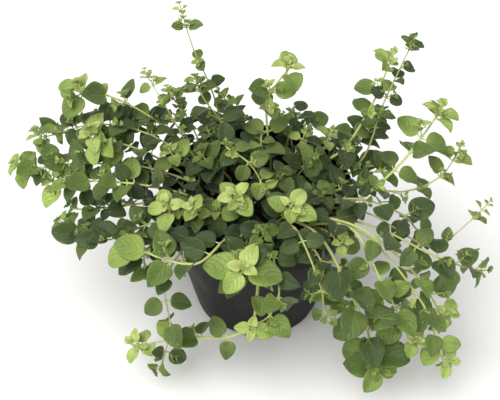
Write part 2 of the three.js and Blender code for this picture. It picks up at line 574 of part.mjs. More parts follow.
const plant = new THREE.Group();
const lines = STEMS.map((row, stem) => centreline(row, 33 + 24 * stream(11 + 53 * stem)()));
lines.forEach((line, stem) =>
  line.forEach(({ at }, i) => occupy(at, stem, "", halfGirth(STEMS[stem][6], i, line))),
);
growPlant(lines).forEach((nodes, stem) => {
  const [girth, , tone] = STEMS[stem].slice(6);
  const mesh = new THREE.Mesh(leafyStem(lines[stem], girth, nodes), leafGreen(tone));
  mesh.name = `leafy_stem_${String(stem + 1).padStart(2, "0")}`;
  plant.add(mesh);
});

const feet = lines.map((line, stem) => {
  const { at, side } = line[0];
  return { x: at.x, y: at.y, width: STEMS[stem][6] + 2 * HOLE_CLEARANCE, facing: Math.atan2(side.y, side.x) };
});
for (const [name, solid, look] of [["pot", potSolid(), plastic], ["soil", soilSolid(feet), earth]]) {
  const mesh = new THREE.Mesh(geometryOfSolid(solid), look);
  mesh.name = name;
  plant.add(mesh);
}

export default plant;
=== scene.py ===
"""An oregano plant in a round nursery pot.

Every stem is grown by the plant's own rule, as in the frame, and then dressed in fine leaves. Stems and leaf
pairs are worked out in millimetres, and become metres in the mesh.
"""
import math
from collections import namedtuple
from functools import partial
from itertools import count, product

import bmesh
import bpy
import numpy as np
from bpy.props import FloatProperty, FloatVectorProperty, IntProperty, PointerProperty
from bpy.types import Operator, Panel, PropertyGroup
from mathutils import Euler, Matrix, Vector, noise


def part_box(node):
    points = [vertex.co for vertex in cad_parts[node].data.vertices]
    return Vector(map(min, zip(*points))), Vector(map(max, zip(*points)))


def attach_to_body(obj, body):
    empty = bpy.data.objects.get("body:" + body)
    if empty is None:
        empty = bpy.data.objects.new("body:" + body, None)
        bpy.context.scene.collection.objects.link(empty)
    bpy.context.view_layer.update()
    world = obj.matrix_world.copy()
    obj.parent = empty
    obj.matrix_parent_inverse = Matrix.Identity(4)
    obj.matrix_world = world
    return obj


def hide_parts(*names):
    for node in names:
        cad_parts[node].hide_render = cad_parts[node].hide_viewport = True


bl_info = {
    "name": "Potted oregano",
    "version": (1, 0, 0),
    "blender": (4, 5, 0),
    "location": "3D View > Sidebar > Oregano",
    "description": "Dresses an oregano plant, its soil and its nursery pot",
    "category": "Add Mesh",
}

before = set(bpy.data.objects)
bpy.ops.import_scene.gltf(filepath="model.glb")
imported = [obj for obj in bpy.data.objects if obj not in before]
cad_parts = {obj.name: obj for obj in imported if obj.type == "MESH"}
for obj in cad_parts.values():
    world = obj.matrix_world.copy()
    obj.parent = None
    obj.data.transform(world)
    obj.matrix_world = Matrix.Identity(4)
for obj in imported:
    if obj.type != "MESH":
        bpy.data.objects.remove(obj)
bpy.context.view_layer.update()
BODY = "root"
MM = 0.001

# The pot, in millimetres, as far as it can't be read from the frame.
RIM_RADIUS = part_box("pot")[1][0] / MM
POT_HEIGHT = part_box("pot")[1][2] / MM
RIM_BAND = 13
BAND_STEP = 2.4
RIM_LIP = 4
SHOULDER = POT_HEIGHT - RIM_BAND
FOOT_RADIUS = 41
WALL = 1.6
FOOT_RING = 5
RING_INNER = FOOT_RADIUS - FOOT_RING
PAD_RADIUS = 20
DRAIN_RAISE = 3.2
DRAIN_HOLES = 8
DRAIN_RADIUS = 3.4
FOOT_NOTCHES = 8
NOTCH_ANGLE = 20
FIRST_NOTCH = -72.5

# The soil, in millimetres.
SOIL_LEVEL = 86
SOIL_GAP = 0.4

# The growth, in millimetres, as in the plant's source.
ROOT_DEPTH = 8
UPRIGHT = 2
LIFT = 8
RISE = ROOT_DEPTH + UPRIGHT + LIFT
STEP = 2  # between the points of a stem's line
CURVE_STEPS = 60  # in each stretch of its route, from which those points are taken
UPTURN = 4.5
OUTTURN = 0.4  # how far a level tip turns outward, as a share of its turn upward
NODE_LENGTH = 1.3
MIN_GAP = 2.6
YOUNG_PAIRS = ((0, 0.42), (0.3, 0.68), (0.45, 0.92))  # share of the gap to the pair above, and size
GAP_CHANCE = (0.8, 1.2)
BUNCHING = 0.5  # how much closer the young pairs of a tight rosette are
SHRINKING = 0.2  # how much smaller leaves are at a stem's foot
BARE_SHARE = 0.6  # how much of its bare length a stem keeps bare, even where young pairs reach down,
BARE_RISE = RISE + 3  # and the least that it keeps

# The leaves. A pair of numbers is the least and the most that chance gives.
LEAF_WIDTH = 0.84
SHORTEST_STALK = 0.6
STALK_SHARE = 0.13
DROOP_PULL = 0.3  # how much of its reach a drooping blade loses
SIZE_CHANCE = (0.86, 1.14)
LEAN_CHANCE = (15, 29)  # degrees from straight outward towards the stem's tip
YOUNG_LEAN = 18  # degrees more on the smallest leaves
LEAST_DROOP, DROOP_CHANCE = 0.08, (0, 0.22)
LEAST_CUP, CUP_CHANCE = 0.2, (0, 0.3)
TURN_CHANCE = (-22, 22)  # degrees about the upright
TILT_CHANCE = (-0.45, 0.45)
LEVELLING, LEVEL_RISE = 0.7, 0.15  # how much nearer to level a leaf is on a level stem, and how it rises

# The distances that keep leaves clear of everything.
FLOOR_CLEARANCE = 4
POT_CLEARANCE = 2
SOIL_CLEARANCE = 3
LEAF_CLEARANCE = 2.5
OWN_CLEARANCE = 1.7
STEM_CLEARANCE = 1.7
OWN_STEM_CLEARANCE = 1.5
CLEARANCES = (LEAF_CLEARANCE, OWN_CLEARANCE, STEM_CLEARANCE, OWN_STEM_CLEARANCE)
LEAST_OUTWARD = 0.6
SAMPLE_SPACING = 2.2
FIRST_SAMPLE = 0.04  # how far along a blade its samples begin
CUBE = 6
TURNS = (
    (0, 0, 1), (0, 14, 1), (0, -14, 1), (18, 8, 1), (-18, 8, 1), (22, -10, 0.95), (-22, -10, 0.95),
    (0, 30, 0.95), (0, -30, 0.95), (38, 0, 0.9), (-38, 0, 0.9), (0, 46, 0.85), (12, 0, 0.75), (-12, 20, 0.75),
    (30, 30, 0.7), (-30, 30, 0.7), (0, 0, 0.6), (0, 35, 0.55),
)  # what a leaf tries to find room: degrees sideways, degrees upward, and a share of its size

Stem = namedtuple("Stem", "bearing radius route longest gap bare girth bunch tone")

# Every leafy stem: the bearing (degrees from +X) and radius where it leaves the soil, the points it passes
# through on the way to its tip, its longest leaf, the distance between leaf pairs, the bare length at its
# foot, its girth, how far the leaves at its tip are bunched (0 loose, 1 a tight rosette), and its tone
# (0 dark green, 1 lime).
STEMS = tuple(Stem(*row) for row in (
    # The back, from left to right: thin upright shoots.
    (124, 36, ((-27, 42, 135), (-40, 44, 178), (-46, 49, 202)), 9, 24, 45, 1.2, 0.6, 0.5),
    (150, 44, ((-50, 28, 124), (-62, 36, 146), (-69, 44, 156)), 8, 13, 40, 1.1, 0.5, 0.6),
    (138, 46, ((-46, 46, 118), (-57, 52, 134)), 9, 11, 22, 1.1, 0.5, 0.6),
    (116, 30, ((-22, 34, 120), (-34, 36, 142), (-38, 42, 150)), 14, 12, 20, 1.4, 0.7, 0.35),
    (98, 42, ((-10, 46, 116), (-20, 40, 136), (-24, 38, 146)), 8, 13, 24, 1.2, 0.3, 0.3),
    (72, 26, ((6, 28, 118), (6, 34, 142), (14, 38, 156), (19, 38, 168)), 15, 14, 24, 1.8, 0.8, 0.75),
    (58, 42, ((20, 41, 110), (16, 39, 124)), 8, 9, 16, 1.2, 0.4, 0.3),
    (50, 36, ((25, 31, 104), (29, 33, 112)), 12, 9, 10, 1.3, 0.8, 0.8),
    (36, 46, ((42, 29, 104), (46, 31, 117)), 12, 10, 10, 1.4, 0.8, 0.75),
    # The right side: upright shoots, then arms that reach out.
    (22, 38, ((62, 10, 110), (76, 24, 148), (93, 42, 184)), 10, 11, 62, 1.4, 0.7, 0.1),
    (36, 30, ((50, 17, 112), (70, 27, 146), (81, 40, 172)), 15, 17, 45, 1.8, 1, 0.85),
    (28, 48, ((64, 30, 112), (76, 36, 130)), 14, 9, 16, 1.4, 0.5, 0.05),
    (-14, 36, ((58, -16, 104), (86, 0, 119), (112, 26, 142)), 16, 15, 30, 2.2, 1, 0.7),
    (-2, 47, ((62, -4, 103), (92, -4, 100), (114, 4, 106), (126, 18, 117)), 13, 15, 38, 1.4, 0.6, 0.6),
    (-20, 46, ((66, -28, 106), (106, -44, 93), (122, -32, 95), (141, -18, 106)), 9, 20, 60, 1.2, 0.3, 0.4),
    (-30, 46, ((70, -40, 107), (106, -57, 99), (138, -50, 79)), 16, 16, 45, 1.6, 0.6, 0.35),
    (-24, 32, ((62, -23, 113), (88, -28, 104), (103, -26, 84)), 16, 16, 35, 1.8, 0.4, 0.05),
    (-38, 38, ((58, -44, 112), (88, -56, 92), (106, -65, 68), (113, -73, 66)), 16, 13, 62, 2, 1, 0.7),
    (-46, 42, ((55, -46, 112), (72, -66, 90), (88, -76, 58), (94, -85, 55)), 18, 12, 60, 2, 1, 0.8),
    (-56, 30, ((36, -52, 112), (56, -76, 84), (70, -84, 44), (73, -93, 38)), 21, 12, 66, 2.1, 1, 0.45),
    (-31, 49, ((64, -43, 103), (98, -74, 76), (110, -82, 44), (116, -89, 40)), 14, 10, 78, 1.6, 1, 0.9),
    (-42, 46, ((44, -42, 102), (49, -50, 105)), 13, 9, 10, 1.6, 1, 0.9),
    # The front, from right to left.
    (-60, 46, ((31, -52, 104), (38, -63, 98), (40, -69, 84)), 12, 9, 18, 1.4, 0.8, 0.65),
    (-50, 47, ((42, -54, 103), (50, -63, 88), (54, -68, 68)), 12, 11, 26, 1.4, 0.6, 0.45),
    (-68, 32, ((22, -52, 118), (36, -77, 97), (42, -81, 72)), 14, 17, 45, 1.4, 0.7, 0.4),
    (-98, 34, ((-7, -44, 98), (-9, -62, 100), (-9, -73, 109)), 21, 11, 22, 1.9, 1, 0.85),
    (-81, 47, ((9, -62, 103), (12, -77, 90), (6, -86, 80), (-3, -91, 75)), 16, 12, 25, 1.5, 1, 0.65),
    (-92, 47, ((0, -62, 103), (-1, -75, 84), (-5, -76, 58), (-20, -73, 42), (-46, -67, 34), (-78, -71, 32)),
      15, 19, 86, 2, 0.6, 0.85),
    (-114, 40, ((-22, -50, 104), (-36, -64, 102), (-58, -58, 100), (-78, -42, 98)),
      18, 14, 22, 1.9, 0.7, 0.75),
    (-130, 48, ((-41, -49, 103), (-55, -64, 88), (-54, -73, 50), (-62, -84, 24)), 15, 19, 30, 1.3, 0.3, 0.1),
    # The left side, from front to back.
    (-150, 48, ((-64, -34, 104), (-92, -38, 93), (-122, -16, 85)), 15, 11, 30, 1.3, 0.5, 0.3),
    (-142, 48, ((-50, -38, 103), (-68, -42, 88), (-73, -43, 70)), 15, 10, 18, 1.5, 0.4, 0.1),
    (-166, 46, ((-62, -16, 103), (-92, -14, 96), (-116, -8, 90)), 16, 10, 20, 1.5, 0.5, 0.15),
    (-172, 42, ((-72, -8, 110), (-104, -4, 109), (-128, 2, 105)), 16, 9, 28, 1.7, 1, 0.85),
    (176, 36, ((-70, 6, 111), (-112, 8, 112), (-151, 11, 108)), 16, 10, 30, 1.4, 0.6, 0.6),
    (168, 30, ((-62, 22, 120), (-100, 33, 122), (-140, 34, 113)), 15, 11, 24, 1.4, 0.7, 0.55),
    (174, 48, ((-62, 8, 104), (-86, 14, 104)), 16, 9, 16, 1.5, 0.4, 0.1),
    (166, 46, ((-64, 16, 110), (-86, 16, 122), (-103, 15, 131)), 16, 9, 22, 1.8, 1, 0.95),
    (156, 34, ((-62, 32, 124), (-94, 38, 142), (-112, 42, 145)), 16, 14, 26, 1.7, 0.9, 0.6),
    (144, 30, ((-48, 34, 112), (-74, 40, 115), (-90, 43, 114)), 16, 10, 22, 1.6, 0.4, 0.1),
    # The middle: short stems that fill the crown.
    (-146, 40, ((-48, -28, 106), (-55, -33, 119)), 14, 9, 10, 1.8, 1, 0.95),
    (-116, 20, ((-11, -22, 108), (-14, -28, 122)), 13, 9, 10, 1.7, 1, 0.95),
    (-136, 40, ((-34, -34, 106), (-39, -36, 122)), 9, 6, 12, 1.1, 1, 0.8),
    (-140, 24, ((-22, -22, 104), (-25, -31, 112)), 16, 9, 8, 1.4, 0.8, 0.35),
    (120, 26, ((-18, 22, 112), (-18, 2, 131), (-5, -10, 130), (4, -19, 117)), 12, 12, 24, 1.4, 0.5, 0.7),
    (-62, 28, ((17, -30, 106), (19, -37, 122)), 15, 9, 10, 1.9, 1, 0.85),
    (160, 40, ((-46, 12, 106), (-54, 12, 119)), 15, 9, 10, 1.6, 0.9, 0.6),
    (-8, 40, ((54, -6, 106), (67, -4, 111)), 17, 9, 12, 1.6, 0.5, 0.15),
    (12, 46, ((58, 9, 103), (78, 5, 111)), 17, 9, 12, 1.6, 0.5, 0.2),
    (24, 26, ((30, 12, 106), (36, 12, 116)), 17, 9, 8, 1.6, 0.5, 0.15),
    (-30, 26, ((32, -16, 104), (40, -18, 114)), 17, 9, 10, 1.6, 0.5, 0.15),
    (-80, 32, ((6, -38, 102), (3, -48, 110)), 15, 9, 10, 1.5, 0.7, 0.3),
    (-20, 8, ((10, -4, 104), (15, -3, 114)), 17, 9, 8, 1.6, 0.5, 0.15),
    (88, 16, ((2, 20, 106), (2, 24, 118)), 17, 9, 8, 1.6, 0.5, 0.2),
    (134, 30, ((-26, 26, 106), (-32, 32, 120)), 17, 9, 10, 1.6, 0.5, 0.12),
    (150, 20, ((-26, 11, 106), (-36, 12, 118)), 16, 9, 10, 1.6, 0.5, 0.2),
    # The far side: stems that hang close to the wall.
    (108, 48, ((-20, 60, 103), (-26, 72, 78), (-26, 76, 48)), 16, 12, 22, 1.5, 0.6, 0.4),
    (66, 47, ((26, 60, 104), (34, 71, 84), (42, 76, 60)), 14, 14, 26, 1.5, 0.6, 0.4),
))


def linear(code):
    """The linear colour of an sRGB hex value."""
    values = [int(code[i:i + 2], 16) / 255 for i in (1, 3, 5)]
    return tuple(v / 12.92 if v <= 0.04045 else ((v + 0.055) / 1.055) ** 2.4 for v in values)


# ---------------------------------------------------------------- the plant's rule of growth

STREAM_FACTOR = 1664525
STREAM_STEP = 1013904223
STREAM_SIZE = 2 ** 32
STREAM_LEAD = 4  # numbers that are left out at a stream's start, where near seeds give near numbers


def stream(seed):
    """A seeded stream of numbers from 0 to 1."""
    state = seed
    for drawn in count():
        state = (state * STREAM_FACTOR + STREAM_STEP) % STREAM_SIZE
        if drawn >= STREAM_LEAD:
            yield state / STREAM_SIZE


def between(random, low, high):
    """The stream's next number, as a place between two others."""
    return low + (high - low) * next(random)


UP = np.array([0.0, 0.0, 1.0])
SKY = np.array([0.0, -0.4, 1.0])  # where light comes from: above, and the side that the plant grew towards


def unit(vector):
    """The vector's direction, with length 1."""
    return vector / math.sqrt(vector @ vector)


def outward(at):
    """The level direction from the pot's axis to a point."""
    return unit(at * (1, 1, 0))


def in_bearing(radius, degrees):
    """The x and y of a point at a distance and a bearing."""
    return radius * math.cos(math.radians(degrees)), radius * math.sin(math.radians(degrees))


def turned_about_up(vector, degrees):
    """The vector after a turn about the upright."""
    x, y = in_bearing(1, degrees)
    return np.array([vector[0] * x - vector[1] * y, vector[0] * y + vector[1] * x, vector[2]])


def smooth_curve(through):
    """Points of the centripetal Catmull-Rom curve through some points, CURVE_STEPS in each stretch."""
    first = 2 * through[0] - through[1]
    last = 2 * through[-1] - through[-2]
    knots = [first, *through, last]
    curve = []
    for k in range(len(through) - 1):
        p0, p1, p2, p3 = knots[k:k + 4]
        t0, t1, t2 = (((b - a) @ (b - a)) ** 0.25 for a, b in ((p0, p1), (p1, p2), (p2, p3)))
        leave = ((p1 - p0) / t0 - (p2 - p0) / (t0 + t1) + (p2 - p1) / t1) * t1
        reach = ((p2 - p1) / t1 - (p3 - p1) / (t1 + t2) + (p3 - p2) / t2) * t1
        for step in range(CURVE_STEPS + (k == len(through) - 2)):
            w = step / CURVE_STEPS
            square = (-3 * p1 + 3 * p2 - 2 * leave - reach) * w * w
            cube = (2 * p1 - 2 * p2 + leave + reach) * w * w * w
            curve.append(p1 + leave * w + square + cube)
    return curve


def centreline(row, turn):
    """A stem's line: points STEP apart, each with the ways that the stem grows and its flat sides face."""
    x, y = in_bearing(row.radius, row.bearing)
    line = [np.array([x, y, z]) for z in np.arange(SOIL_LEVEL - ROOT_DEPTH, SOIL_LEVEL + UPRIGHT, STEP)]
    through = [np.array([x, y, SOIL_LEVEL + UPRIGHT + lift]) for lift in (0, LIFT)]
    through += [np.array(point, dtype=float) for point in row.route]
    before, tip = through[-2:]
    fall = min(0.0, unit(tip - before)[2])
    upturn = UPTURN * row.bunch * (outward(tip) * (OUTTURN - fall) + UP * (1 + fall))
    through.append(tip + upturn)
    through[-2] = tip - upturn
    fine = smooth_curve(through)
    line.append(fine[0])
    left = STEP
    for start, end in zip(fine, fine[1:]):
        span = math.dist(start, end)
        while span >= left:
            start = start + (end - start) * (left / span)
            line.append(start)
            span = math.dist(start, end)
            left = STEP
        left -= span
    side = np.array([*in_bearing(1, row.bearing + turn), 0.0])
    places = []
    for i, at in enumerate(line):
        along = unit(line[min(i + 1, len(line) - 1)] - line[max(i - 1, 0)])
        side = unit(side - along * (side @ along))
        places.append({"at": at, "along": along, "side": side, "across": np.cross(along, side)})
    return places


def half_girth(girth, i, line):
    """Half the thickness of a stem at a point of its line: it tapers to half at the tip."""
    return girth / 2 * (1 - 0.5 * i / (len(line) - 1))


def outline(u):
    """Half width of a blade, as a share of its full width, at a share u of its length."""
    return 1.16 * np.sqrt(u) * (1 - u) ** 0.75


def blade_points(leaf, u, v, lift=0):
    """Points of a blade: u runs from its stalk to its tip, v from the right edge (-1) to the left (1)."""
    half = leaf["width"] * outline(u)
    rise = leaf["cup"] * half * v * v - leaf["droop"] * leaf["length"] * u * u + lift
    reach = leaf["stalk"] + u * leaf["length"] * (1 - DROOP_PULL * leaf["droop"] * u)
    return (leaf["root"] + np.multiply.outer(reach, leaf["along"]) + np.multiply.outer(v * half, leaf["side"])
            + np.multiply.outer(rise, leaf["facing"]))


def blade_samples(leaf):
    """Points spread over a blade, close enough together that two blades can't cross unseen."""
    rows = max(2, math.ceil(leaf["length"] / SAMPLE_SPACING))
    us, vs = [], []
    for i in range(rows + 1):
        u = FIRST_SAMPLE + (1 - FIRST_SAMPLE) * i / rows
        columns = math.ceil(leaf["width"] * outline(u) / SAMPLE_SPACING - 1e-9)
        spread = np.arange(-columns, columns + 1) / max(columns, 1)
        us.append(np.full(len(spread), u))
        vs.append(spread)
    return blade_points(leaf, np.concatenate(us), np.concatenate(vs))


def wall_radius(z):
    """The pot's outer radius at a height, below the rim band."""
    return FOOT_RADIUS + (RIM_RADIUS - BAND_STEP - FOOT_RADIUS) * z / SHOULDER


def clear_of_pot(points):
    """Whether points keep clear of pot, soil and floor."""
    z = points[:, 2]
    r = np.hypot(points[:, 0], points[:, 1])
    outer = np.where(z > SHOULDER, RIM_RADIUS, wall_radius(z))
    inside = (z > SOIL_LEVEL + SOIL_CLEARANCE) & (r < RIM_RADIUS - RIM_LIP - POT_CLEARANCE)
    free = (z > POT_HEIGHT + POT_CLEARANCE) | inside | (r > outer + POT_CLEARANCE)
    return bool(np.all(free & (z >= FLOOR_CLEARANCE)))


class Room:
    """Everything already in place, kept in cubes of space so that only near things are compared."""

    def __init__(self):
        self.taken = {}
        self.owners = {}

    def occupy(self, points, stem, owner, reach=0.0):
        """Marks points as taken; a stem's point has its half girth as its reach, and a blade's has none."""
        number = self.owners.setdefault(owner, len(self.owners))
        for x, y, z in points:
            cube = math.floor(x / CUBE), math.floor(y / CUBE), math.floor(z / CUBE)
            self.taken.setdefault(cube, []).append((x, y, z, stem, number, reach))

    def is_clear(self, points, stem, owner, clearances):
        """Whether points keep clear of the pot and of everything in place, their own stem included."""
        if not clear_of_pot(points):
            return False
        cubes = {tuple(cube) for cube in np.floor(points / CUBE).astype(int).tolist()}
        near = {(x + i, y + j, z + k) for x, y, z in cubes for i, j, k in product((-1, 0, 1), repeat=3)}
        others = [entry for cube in near for entry in self.taken.get(cube, ())]
        if not others:
            return True
        others = np.array(others)
        others = others[others[:, 4] != self.owners.get(owner, -1)]
        leaf, own_leaf, stalk, own_stalk = clearances
        own = others[:, 3] == stem
        reach = others[:, 5]
        room = np.where(reach > 0, reach + np.where(own, own_stalk, stalk), np.where(own, own_leaf, leaf))
        apart = ((points[:, None, :] - others[None, :, :3]) ** 2).sum(axis=2)
        return bool(np.all(apart >= room ** 2))


def make_leaf(root, aim, light, length, droop, cup):
    """A leaf that grows from a stem's side towards aim and turns its upper face to the light."""
    along = unit(aim)
    facing = unit(light - along * (light @ along))
    stalk = SHORTEST_STALK + STALK_SHARE * length
    return {"root": root, "along": along, "facing": facing, "side": np.cross(facing, along), "length": length,
            "width": LEAF_WIDTH * length, "stalk": stalk, "droop": droop, "cup": cup}


def leaf_with_room(room, stem, owner, face, root, aim, light, size, droop, cup, turn, clearances=CLEARANCES):
    """The leaf after the first small turn that gives it room, with its place taken, or None."""
    for yaw, pitch, scale in TURNS:
        way = turned_about_up(unit(aim), turn + yaw)
        way[2] += math.tan(math.radians(pitch))
        leaf = make_leaf(root, way, light, size * scale, droop, cup)
        if leaf["along"] @ face < LEAST_OUTWARD:
            continue
        points = blade_samples(leaf)
        if room.is_clear(points, stem, owner, clearances):
            room.occupy(points, stem, owner)
            return leaf
    return None


def pairs_of(length, row, random):
    """Where leaf pairs sit, measured back from the tip, with their size as a share of the longest leaf."""
    bare = row.bare + ROOT_DEPTH
    pairs = []
    back = NODE_LENGTH
    for step, share in YOUNG_PAIRS:
        back += max(MIN_GAP, step * row.gap * (1 - BUNCHING * row.bunch))
        pairs.append((back, share))
    while back + row.gap < length - bare:
        back += row.gap * between(random, *GAP_CHANCE)
        pairs.append((back, 1 - SHRINKING * (back / length)))
    return [pair for pair in pairs if pair[0] < length - max(BARE_SHARE * bare, BARE_RISE)]


def leaf_aim(face, along, lean):
    """Where a leaf grows: outward and a little along its stem, and nearer to level on a level stem."""
    aim = face * math.cos(lean) + along * math.sin(lean)
    flat = math.hypot(along[0], along[1])
    aim[2] = aim[2] * (1 - LEVELLING * flat) + LEVEL_RISE * flat
    return aim


def faces_of_pair(line, i, pair):
    """The two sides of a stem that a pair's leaves grow from, each pair across the last."""
    normal = line[i]["across" if pair % 2 else "side"]
    return normal, -normal


def plan_leaves(line, row, stem):
    """The leaf pairs that a stem would grow, before their leaves look for room."""
    random = stream(101 + 37 * stem)
    length = STEP * (len(line) - 1)
    plan = []
    for pair, (back, share) in enumerate(pairs_of(length, row, random)):
        i = math.floor((length - back) / STEP + 0.5)
        at, along = line[i]["at"], line[i]["along"]
        sunward = SKY + outward(at) * 0.15 + along * (0.15 + 1.3 * (1 - share))
        for face in faces_of_pair(line, i, pair):
            size = row.longest * share * between(random, *SIZE_CHANCE)
            lean = math.radians(YOUNG_LEAN * (1 - share) + between(random, *LEAN_CHANCE))
            droop = LEAST_DROOP + share * between(random, *DROOP_CHANCE)
            cup = LEAST_CUP + (1.4 - share) * between(random, *CUP_CHANCE)
            turn = between(random, *TURN_CHANCE)
            light = sunward + (between(random, *TILT_CHANCE), between(random, *TILT_CHANCE), 0)
            root = at + face * half_girth(row.girth, i, line)
            place = {"i": i, "pair": pair, "face": face, "age": back / length}
            plan.append((place, (root, leaf_aim(face, along, lean), light, size, droop, cup, turn)))
    return plan


def grow_leaves(lines, room):
    """Every stem's leaves, the young pairs at all the tips first, and the leaves that found no room."""
    plans = [plan_leaves(line, row, stem) for stem, (line, row) in enumerate(zip(lines, STEMS))]
    grown = [[] for _ in plans]
    left_out = []
    for young in (True, False):
        for stem, plan in enumerate(plans):
            for number, (place, shape) in enumerate(plan):
                if (place["pair"] < len(YOUNG_PAIRS)) != young:
                    continue
                leaf = leaf_with_room(room, stem, (stem, number), place["face"], *shape)
                if leaf:
                    grown[stem].append({**leaf, **place})
                else:
                    left_out.append((stem, number, place, shape))
    return grown, left_out


# ---------------------------------------------------------------- leaves that are too many for the solids

# Where the crown's painted shade falls: it begins below CROWN_TOP, is full CROWN_DEPTH lower down, and lies
# only within CROWN_RADIUS of the pot's axis.
CROWN_TOP = 120
CROWN_DEPTH = 25
CROWN_RADIUS = 72
FRESH_PAIRS = 4  # how many pairs from the tip still have some of its fresh green
BARE_PAIRS = 2  # how many pairs from the tip are too young for shoots in their axils
DENSE_GAP = 11  # a stem whose pairs are no further apart is a dense one,
LONG_BARE = 50  # unless its foot is bare for longer than this
FOOT_AGE, DENSE_AGE = 1.0, 0.7  # of the old leaves on a stem's foot, and of those between dense pairs
SHOOT_LOSS = 0.6  # how much rarer side shoots are at a stem's foot
SHADE_GAP = 9  # between the pairs of old leaves on a stem's foot, inside the crown
SHADE_RADIUS = 64  # how far from the pot's axis such leaves grow
SHADE_SIZES = (10, 19)  # the least and the most length of an old leaf, before chance
SHADE_CLEARANCES = (1.6, 1.2, 1.3, 0.8)  # in the order of CLEARANCES
TUFT_CLEARANCES = (1.0, 0.5, 1.3, 0.5)
TUFT_PAIRS = ((0.4, 1.0), (0.72, 0.8), (0.92, 0.52), (1.0, 0.3))  # height on the side shoot, and size
LEAST_TUFT_HEIGHT, SMALLEST_TUFT_LEAF = 1.8, 3.2
TUFT_DROOP, TUFT_CUP = 0.15, 0.4


def grow_late_leaves(grown, left_out, room):
    """The leaves that the thick blades of the solids left no room for: thin blades can lie closer."""
    for stem, number, place, shape in left_out:
        leaf = leaf_with_room(room, stem, (stem, number), place["face"], *shape, SHADE_CLEARANCES)
        if leaf:
            grown[stem].append({**leaf, **place})


def grow_shade_leaves(line, row, stem, leaves, room):
    """Old, dark leaf pairs: on a stem's foot, where the crown hides it, and between a dense stem's pairs."""
    random = stream(307 + 41 * stem)
    step = math.ceil(SHADE_GAP / STEP)
    lowest = min((leaf["i"] for leaf in leaves), default=len(line) - 1)
    places = list(range(lowest - step, (ROOT_DEPTH + UPRIGHT) // STEP, -step))
    if row.gap <= DENSE_GAP and row.bare < LONG_BARE:
        nodes = sorted({leaf["i"] for leaf in leaves if leaf["pair"] >= BARE_PAIRS})
        places += [(low + high) // 2 for low, high in zip(nodes, nodes[1:])]
    least, most = SHADE_SIZES
    shade = []
    for pair, i in enumerate(places):
        at, along = line[i]["at"], line[i]["along"]
        if i < lowest and math.hypot(at[0], at[1]) > SHADE_RADIUS:
            continue
        for number, face in enumerate(faces_of_pair(line, i, pair)):
            size = max(least, min(most, row.longest)) * between(random, 0.75, 1.1)
            aim = leaf_aim(face, along, math.radians(between(random, 10, 30)))
            droop = between(random, 0.1, 0.3)
            cup = between(random, 0.15, 0.4)
            turn = between(random, -35, 35)
            root = at + face * half_girth(row.girth, i, line)
            light = UP + outward(at) * 0.3
            shape = (root, aim, light, size, droop, cup, turn)
            leaf = leaf_with_room(room, stem, (stem, "shade", pair, number), face, *shape, SHADE_CLEARANCES)
            if leaf:
                age = FOOT_AGE if i < lowest else DENSE_AGE
                shade.append({**leaf, "i": i, "face": face, "age": age, "pair": FRESH_PAIRS + pair})
    return shade


def grow_tuft(line, row, stem, mother, room, random):
    """A young side shoot between a leaf and its stem: a short axis with a few pairs of small leaves."""
    face, along = mother["face"], line[mother["i"]]["along"]
    vigour = next(random) ** 0.7 * (0.7 + 0.3 * row.bunch * (mother["pair"] < len(YOUNG_PAIRS)))
    axis = unit(face * between(random, 0.5, 1) + along * 0.6 + SKY * 0.5)
    height = LEAST_TUFT_HEIGHT + (0.15 + 0.4 * vigour) * mother["length"]
    depth = 0.4 * half_girth(row.girth, mother["i"], line)
    foot = mother["root"] + along * 0.5 * NODE_LENGTH - face * depth
    leaf_size = max(SMALLEST_TUFT_LEAF, mother["length"] * (0.24 + 0.36 * vigour))
    across = unit(np.cross(along, face))
    owner = (stem, "tuft", mother["i"], *np.round(face, 2))
    leaves = []
    for k, (rise, share) in enumerate(TUFT_PAIRS):
        normal = np.cross(axis, across) if k % 2 else across
        for sign in (1, -1):
            size = leaf_size * share * between(random, 0.85, 1.15)
            lean = math.radians(20 + 50 * rise * next(random))
            aim = normal * sign * math.cos(lean) + axis * math.sin(lean)
            light = axis + SKY * (0.7 - 0.4 * rise)
            leaf = make_leaf(foot + axis * height * rise, aim, light, size, TUFT_DROOP * share, TUFT_CUP)
            points = blade_samples(leaf)
            if room.is_clear(points, stem, owner, TUFT_CLEARANCES):
                room.occupy(points, stem, owner)
                leaves.append({**leaf, "pair": k})
    return {"foot": foot, "axis": axis, "height": height, "leaves": leaves}


# ---------------------------------------------------------------- skins

PAINT = ("tone", "along", "across", "under", "chance")
STEM_SKIN, BLADE_SKIN = 0, 1


def new_piece(name, mesh, materials):
    """An object of the mesh, in the scene, with its materials."""
    for material in materials:
        mesh.materials.append(material)
    piece = bpy.data.objects.new(name, mesh)
    bpy.context.scene.collection.objects.link(piece)
    return piece


class Skin:
    """Collects the points, faces and paint of one piece, in millimetres."""

    def __init__(self):
        self.points, self.faces, self.kinds = [], [], []
        self.paint = {name: [] for name in PAINT}
        self.count = 0

    def add(self, points, faces, kind, **paint):
        """Adds points and their faces; paint is one value for all of the points, or one for each."""
        self.points.append(points)
        self.faces += [tuple(self.count + corner for corner in face) for face in faces]
        self.kinds += [kind] * len(faces)
        for name in PAINT:
            values = np.asarray(paint.get(name, 0.0), dtype=float)
            self.paint[name].append(np.broadcast_to(values, len(points)))
        self.count += len(points)

    def build(self, name, materials):
        """The piece, with its paint as attributes that the materials read."""
        mesh = bpy.data.meshes.new(name)
        mesh.from_pydata((np.concatenate(self.points) * MM).tolist(), [], self.faces)
        mesh.polygons.foreach_set("material_index", self.kinds)
        mesh.polygons.foreach_set("use_smooth", [True] * len(self.faces))
        for paint in PAINT:
            layer = mesh.attributes.new(paint, "FLOAT", "POINT")
            layer.data.foreach_set("value", np.concatenate(self.paint[paint]))
        mesh.update()
        return new_piece(name, mesh, materials)


